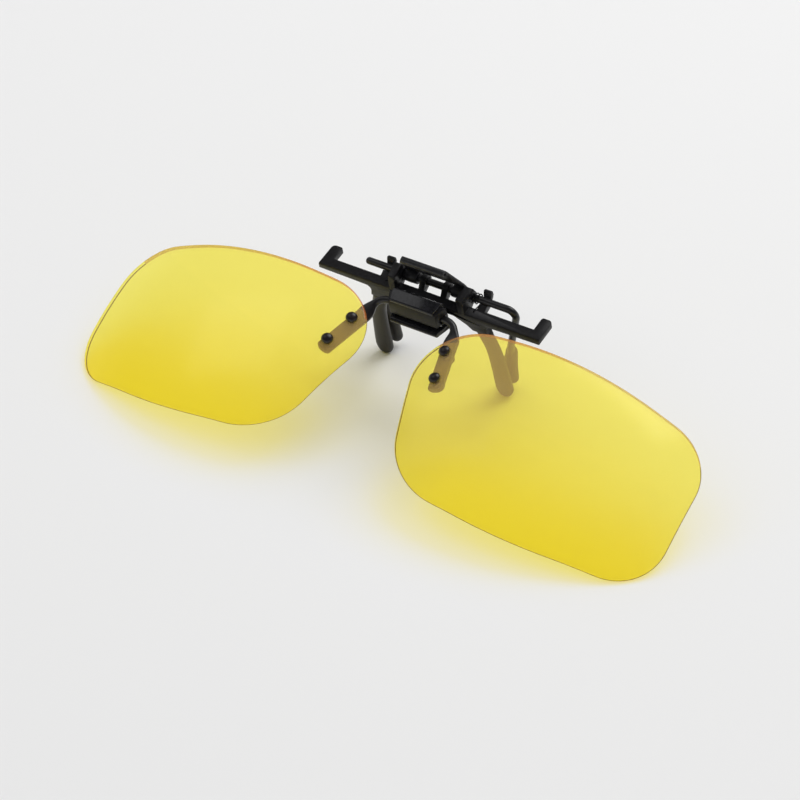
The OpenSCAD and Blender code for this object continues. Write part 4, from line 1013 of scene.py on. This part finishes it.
start = np.array([BRIDGE_OUT, BRIDGE_Y, BRIDGE_Z])
end = on_tab(-SCREW_PITCH/2 - TAB_START + TAB_LAP)
tab_way = TAB_TURN@skew@np.array([1, 0, 0])
tab_up = TAB_TURN@np.array([0, 0, 1])
pull_out, pull_in = start + [PULL_OUT, 0, 0], end - tab_way*PULL_IN
half_bridge = [section(np.array([x, BRIDGE_Y, BRIDGE_Z]), np.array([0, -1, 0]),
                       np.array([0, 0, 1]), BRIDGE_D/2, BRIDGE_D/2, 0) for x in (0, 3, 5)]
for t in np.linspace(0, 1, 36):
    at = (1-t)**3*start + 3*(1-t)**2*t*pull_out + 3*(1-t)*t*t*pull_in + t**3*end
    way = unit(3*(1-t)**2*(pull_out - start) + 6*(1-t)*t*(pull_in - pull_out)
               + 3*t*t*(end - pull_in))
    f = np.clip((t - FLAT_FROM)/FLAT_RUN, 0, 1)
    flat = f*f*(3 - 2*f)
    lean = t*t*(3 - 2*t)
    side = unit(np.cross(way, (1 - lean)*np.array([0, 0, 1]) + lean*tab_up))
    half_bridge.append(section(at, side, np.cross(side, way),
                               (BRIDGE_D*(1-flat) + TAB_W*flat)/2,
                               (BRIDGE_D*(1-flat) + TAB_T*flat)/2, flat))
print("the sweep is", round(float(np.linalg.norm(end - start)), 2), "mm from end to end")

# %% The rounded end of the tab, and the whole wire
TIP_SOFT, TIP_THIN = 0.16, 0.35
TIP_STEPS = (5.2, 3.6, 1.6, 1.1, 0.75, 0.5, 0.3, 0.16, 0.07, 0.02)

tab_tip, tab_round = SCREW_PITCH/2 + TAB_END, 0.75*TAB_W
for back_off in TIP_STEPS:
    x = tab_tip - back_off
    over = max(0.0, x - tab_tip + tab_round)
    half = min(TAB_W/2, math.sqrt(tab_round**2 - over**2))
    thin = 1 - TIP_THIN*max(0.0, (TIP_SOFT - back_off)/TIP_SOFT)
    half_bridge.append(section(on_tab(x), unit(np.cross(tab_way, tab_up)), tab_up, half,
                               TAB_T/2*thin, 1))
rings = [r*[-1, 1, 1] for r in half_bridge[:0:-1]] + half_bridge
piece("bridge_wire_flattened", lofted("bridge_wire_flattened", [place(r) for r in rings]),
      "flip_frame", ["bridge_wire"], satin_wire)

# %% [markdown]
# ## Turned parts
# Screws and nuts are turned on a lathe, and washers are as round as if they were. Their meshes
# are made that way too: a profile of radius and height is turned round Z. A Screw modifier can
# do it, but its doubled points on the axis have to be merged, where this lathe closes the
# shape with a single one.

# %% A lathe
SHARP_TURNED, ON_AXIS = 40, 1e-6


def lathe(name, profile, n=40):
    """Turns a profile of (radius, height) in millimetres round Z. Ends on the axis close it."""
    bm = bmesh.new()
    loops = []
    for r, z in profile:
        if r < ON_AXIS:
            loops.append([bm.verts.new((0, 0, z*MM))])
        else:
            loops.append([bm.verts.new((r*MM*math.cos(2*math.pi*i/n),
                                        r*MM*math.sin(2*math.pi*i/n), z*MM))
                          for i in range(n)])
    closing = [loops[0]] if profile[0][0] > ON_AXIS else []
    for low, high in zip(loops, loops[1:] + closing):
        for i in range(n):
            around = [low[i % len(low)], low[(i + 1) % len(low)], high[(i + 1) % len(high)],
                      high[i % len(high)]]
            corners = list(dict.fromkeys(around))
            if len(corners) > 2:
                bm.faces.new(corners)
    bmesh.ops.recalc_face_normals(bm, faces=bm.faces)
    mesh = bpy.data.meshes.new(name)
    bm.to_mesh(mesh)
    bm.free()
    mark_edges(mesh, SHARP_TURNED)
    print("turned a", name, "with", len(mesh.vertices), "points")
    return mesh


# %% [markdown]
# ## Screws, washers and cap nuts
# Each lens is held by two domed screws, with a soft washer behind the lens and a cap nut behind
# the tab. All heights are measured on the tab: a screw head stands on the front of the lens,
# and its thread ends inside the nut. The same three shapes return at all four places.

# %% Three profiles
HEAD_R, HEAD_H, HEAD_SIDE, HEAD_FOOT = 1.2, 1.0, 0.16, 0.12
THREAD_R, THREAD_PLAY, THREAD_SHORT = 0.6, 0.05, 0.3
NUT_H, NUT_ROUND, NUT_HOLLOW, WASHER_ROUND = 0.8, 0.06, 0.25, 0.04

thread_end = tab_bottom - NUT_H + THREAD_SHORT - SEAT
hole_r, nut_r, washer_high = THREAD_R + THREAD_PLAY, NUT_D/2, WASHER_T - SEAT
dome = [(0.0, HEAD_H)] + [(HEAD_R*math.sin(b), HEAD_SIDE + (HEAD_H - HEAD_SIDE)*math.cos(b))
                          for b in np.radians([12, 25, 38, 50, 62, 73, 83])]
screw = lathe("screw", dome + [(HEAD_R, HEAD_FOOT), (HEAD_R - 0.05, 0.02),
                               (HEAD_R - HEAD_FOOT, 0.0), (THREAD_R, 0.0),
                               (THREAD_R, thread_end), (0.0, thread_end)])
washer = lathe("washer", [(hole_r, 0.0), (nut_r - WASHER_ROUND, 0.0), (nut_r, WASHER_ROUND),
                          (nut_r, washer_high - WASHER_ROUND),
                          (nut_r - WASHER_ROUND, washer_high), (hole_r, washer_high)])
nut_dome = [(nut_r*math.cos(b), -NUT_H/2 - NUT_H/2*math.sin(b))
            for b in np.radians([14, 28, 42, 56, 70, 82])]
nut = lathe("cap_nut", [(hole_r, 0.0), (nut_r - NUT_ROUND, 0.0), (nut_r, -NUT_ROUND),
                        (nut_r, -NUT_H/2)] + nut_dome
            + [(0.0, -NUT_H), (0.0, -NUT_H + NUT_HOLLOW), (hole_r, -NUT_H + NUT_HOLLOW)])

# %% [markdown]
# ## Copies on points
# What repeats is made by Geometry Nodes: a tree stands a copy of a shape on each point of a
# mesh, along the direction stored there as the attribute "way". Copies made by hand would have
# to be changed one by one. The tree ends by making the copies real and giving them their
# finish, because the export drops instances.

# %% The beginning and the end of a tree
def new_tree(name, inputs, output):
    """A Geometry Nodes tree with named inputs of (name, kind, default) and one output."""
    g = bpy.data.node_groups.new(name, "GeometryNodeTree")
    for title, kind, default in inputs:
        socket = g.interface.new_socket(title, in_out="INPUT", socket_type="NodeSocket" + kind)
        if default is not None:
            socket.default_value = default
    g.interface.new_socket(output, in_out="OUTPUT", socket_type="NodeSocketGeometry")
    return g, g.nodes.new("NodeGroupInput"), g.nodes.new("NodeGroupOutput")


def end_tree(g, into, geometry, out_of):
    """Makes the geometry real, gives it the finish and links it to the output."""
    real = g.nodes.new("GeometryNodeRealizeInstances")
    finish = g.nodes.new("GeometryNodeSetMaterial")
    link(g, geometry, real.inputs["Geometry"])
    link(g, real.outputs["Geometry"], finish.inputs["Geometry"])
    link(g, into.outputs["Finish"], finish.inputs["Material"])
    link(g, finish.outputs["Geometry"], out_of.inputs[0])
    print("tree", g.name, "has", len(g.nodes), "nodes")


# %% A tree that sets copies on points
copies, into, out_of = new_tree(
    "copies_on_points", [("Points", "Geometry", None), ("Shape", "Object", None),
                         ("Size", "Float", 1.0), ("Finish", "Material", None)], "Copies")
shape = copies.nodes.new("GeometryNodeObjectInfo")
way = node(copies, "GeometryNodeInputNamedAttribute", data_type="FLOAT_VECTOR", Name="way")
aim = node(copies, "FunctionNodeAlignRotationToVector", axis="Z")
stand = copies.nodes.new("GeometryNodeInstanceOnPoints")
link(copies, into.outputs["Shape"], shape.inputs["Object"])
link(copies, way.outputs["Attribute"], aim.inputs["Vector"])
link(copies, into.outputs["Points"], stand.inputs["Points"])
link(copies, shape.outputs["Geometry"], stand.inputs["Instance"])
link(copies, aim.outputs["Rotation"], stand.inputs["Rotation"])
link(copies, into.outputs["Size"], stand.inputs["Scale"])
end_tree(copies, into, stand.outputs["Instances"], out_of)

# %% [markdown]
# ## The fasteners in place
# The tree runs on a mesh of two bare points, one for each screw of a lens. Its inputs are set
# by the socket's identifier before it is first evaluated. The result is taken out as a plain
# mesh, because a piece can't keep a live modifier here, and becomes a piece like any other.

# %% Running a tree
def run_tree(name, mesh, tree, **inputs):
    """Runs a Geometry Nodes tree on a mesh and returns the result as a plain mesh."""
    o = bpy.data.objects.new(name, mesh)
    bpy.context.scene.collection.objects.link(o)
    m = o.modifiers.new("tree", "NODES")
    m.node_group = tree
    for item in tree.interface.items_tree:
        if item.in_out == "INPUT" and item.name.replace(" ", "_") in inputs:
            m[item.identifier] = inputs[item.name.replace(" ", "_")]
    dg = bpy.context.evaluated_depsgraph_get()
    made = bpy.data.meshes.new_from_object(o.evaluated_get(dg))
    made.name = name
    bpy.data.objects.remove(o)
    return made


# %% The three fasteners on each side
def fastened(name, side, template, z, finish, cad_node):
    """One kind of fastener at the two screws of one lens, at height z on the tab's frame."""
    places = from_tab([[e*SCREW_PITCH/2, 0, z] for e in (-1, 1)], side)
    way = unit((from_tab([[0, 0, 1]], side) - from_tab([[0, 0, 0]], side))[0])
    points = bpy.data.meshes.new("points")
    points.from_pydata([tuple(p) for p in places], [], [])
    points.attributes.new("way", "FLOAT_VECTOR", "POINT").data.foreach_set(
        "vector", np.tile(way, 2).astype(np.float32))
    shape = bpy.data.objects.new("shape", template)
    bpy.context.scene.collection.objects.link(shape)
    made = run_tree(name, points, copies, Shape=shape, Size=1.0, Finish=finish)
    bpy.data.objects.remove(shape)
    piece(name, made, "flip_frame", [cad_node])


for word, side in SIDES:
    fastened(word + "_screws_domed", side, screw, SEAT, black_screw,
             word + "_lens_screws")
    fastened(word + "_washers_soft", side, washer, tab_top + SEAT, dark_washer,
             word + "_washers")
    fastened(word + "_cap_nuts_round", side, nut, tab_bottom - SEAT, black_screw,
             word + "_cap_nuts")

# %% [markdown]
# ## A wire along a path
# A thin spring wire follows a path through space, which is a second thing that Geometry Nodes
# do well: the path becomes a curve, a small circle is drawn along it, and the ends are closed.
# The rings of the bent wires would do as well, but a tree has its radius and its number of
# sides as inputs, so that the fineness of a thin wire can be tried without new code.

# %% A tree that draws a wire along a path
wires, into, out_of = new_tree(
    "wire_on_path", [("Path", "Geometry", None), ("Wire radius", "Float", 0.0001),
                     ("Sides", "Int", 12), ("Finish", "Material", None)], "Wire")
curve = wires.nodes.new("GeometryNodeMeshToCurve")
ring = node(wires, "GeometryNodeCurvePrimitiveCircle", mode="RADIUS")
skin = node(wires, "GeometryNodeCurveToMesh", Fill_Caps=True)
smooth = wires.nodes.new("GeometryNodeSetShadeSmooth")
link(wires, into.outputs["Path"], curve.inputs["Mesh"])
link(wires, into.outputs["Sides"], ring.inputs["Resolution"])
link(wires, into.outputs["Wire radius"], ring.inputs["Radius"])
link(wires, curve.outputs["Curve"], skin.inputs["Curve"])
link(wires, ring.outputs["Curve"], skin.inputs["Profile Curve"])
link(wires, skin.outputs["Mesh"], smooth.inputs["Geometry"])
end_tree(wires, into, smooth.outputs["Geometry"], out_of)

# %% [markdown]
# ## Closing springs
# On each side a thin spring is wound round the axle between a cheek and a saddle. One end
# presses on the wing bar and the other on the thumb plate. The coil is a helix worked out by a
# formula, and its two legs are a few points more.

# %% The path of a spring
SPRING_D, SPRING_IN, SPRING_LEN, SPRING_SIDES = 0.25, 8.66, 1.56, 12
LOOPS, COIL_FROM, COIL_TO, COIL_PLAY = 2, 258, 240, 0.12
WING_REAR, REST_IN, REST_OVER = 2.4, 0.2, 0.03
EAR_HALF, TANG_SHORT = 7.0, 1.2

coil_r = BORE_R + COIL_PLAY + SPRING_D/2
coil_a, coil_b = math.radians(COIL_FROM), math.radians(COIL_TO + 360*LOOPS)
leg_x = SPRING_IN + SPRING_D/2
coil = [[leg_x + (SPRING_LEN - SPRING_D)*(1 - k), AXLE_Y + coil_r*math.cos(a),
         AXLE_Z + coil_r*math.sin(a)]
        for k, a in ((k, coil_a + (coil_b - coil_a)*k) for k in np.linspace(0, 1, 49))]
coil_x = coil[0][0]
tang_in, tang_y = EAR_HALF - TANG_SHORT, AXLE_Y + 0.3
tang_z = AXLE_Z - (BORE_R + PLATE_T) - 0.35
rest_edge = np.array([coil_x, WING_REAR - REST_IN, SPRING_D/2 + REST_OVER])
push = np.array([leg_x, tang_y + SPRING_D/2 + SEAT, tang_z - 0.1])
route = np.array([rest_edge + [0, -0.9, 0.15], rest_edge] + coil
                 + [push + [0, 0.05, 0.12], push - [0.15, 0, 0],
                    [tang_in + 0.25, push[1], push[2]]])
print("spring of", LOOPS, "loops, mean radius", round(coil_r, 3), "mm")

# %% [markdown]
# ## Springs between two bodies
# A closing spring has one end on the clip and the other on the jaw, so it belongs to neither
# body alone. If it stayed with the clip, it would cut into the thumb plate when the jaw opens.
# So here it rides on no body, and its points are baked where they lie at rest.

# %% The two springs
for word, side in SIDES:
    name = word + "_spring_wound"
    path_mesh = bpy.data.meshes.new("route")
    path_mesh.from_pydata([tuple(p) for p in place(route*[side, 1, 1])],
                          [(i, i + 1) for i in range(len(route) - 1)], [])
    made = run_tree(name, path_mesh, wires, Wire_radius=SPRING_D/2*MM, Sides=SPRING_SIDES,
                    Finish=blued_spring)
    spring = piece(name, made, None, [word + "_closing_spring"])
    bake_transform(spring)

# %% [markdown]
# ## Pieces that stay as they are
# The flip pin, the flat spring beside it and the two rivets are almost hidden, and their CAD
# solids are as fine as they need to be. They keep their shape and only get a finish.

# %% Finishes for the small CAD nodes
for cad_node, finish in (("flip_pin", blued_spring), ("detent_spring", blued_spring),
                         ("plate_rivets", satin_wire)):
    mesh = frame["nodes"][cad_node].data
    mesh.materials.clear()
    mesh.materials.append(finish)
    print(cad_node, "is finished in", finish.name)
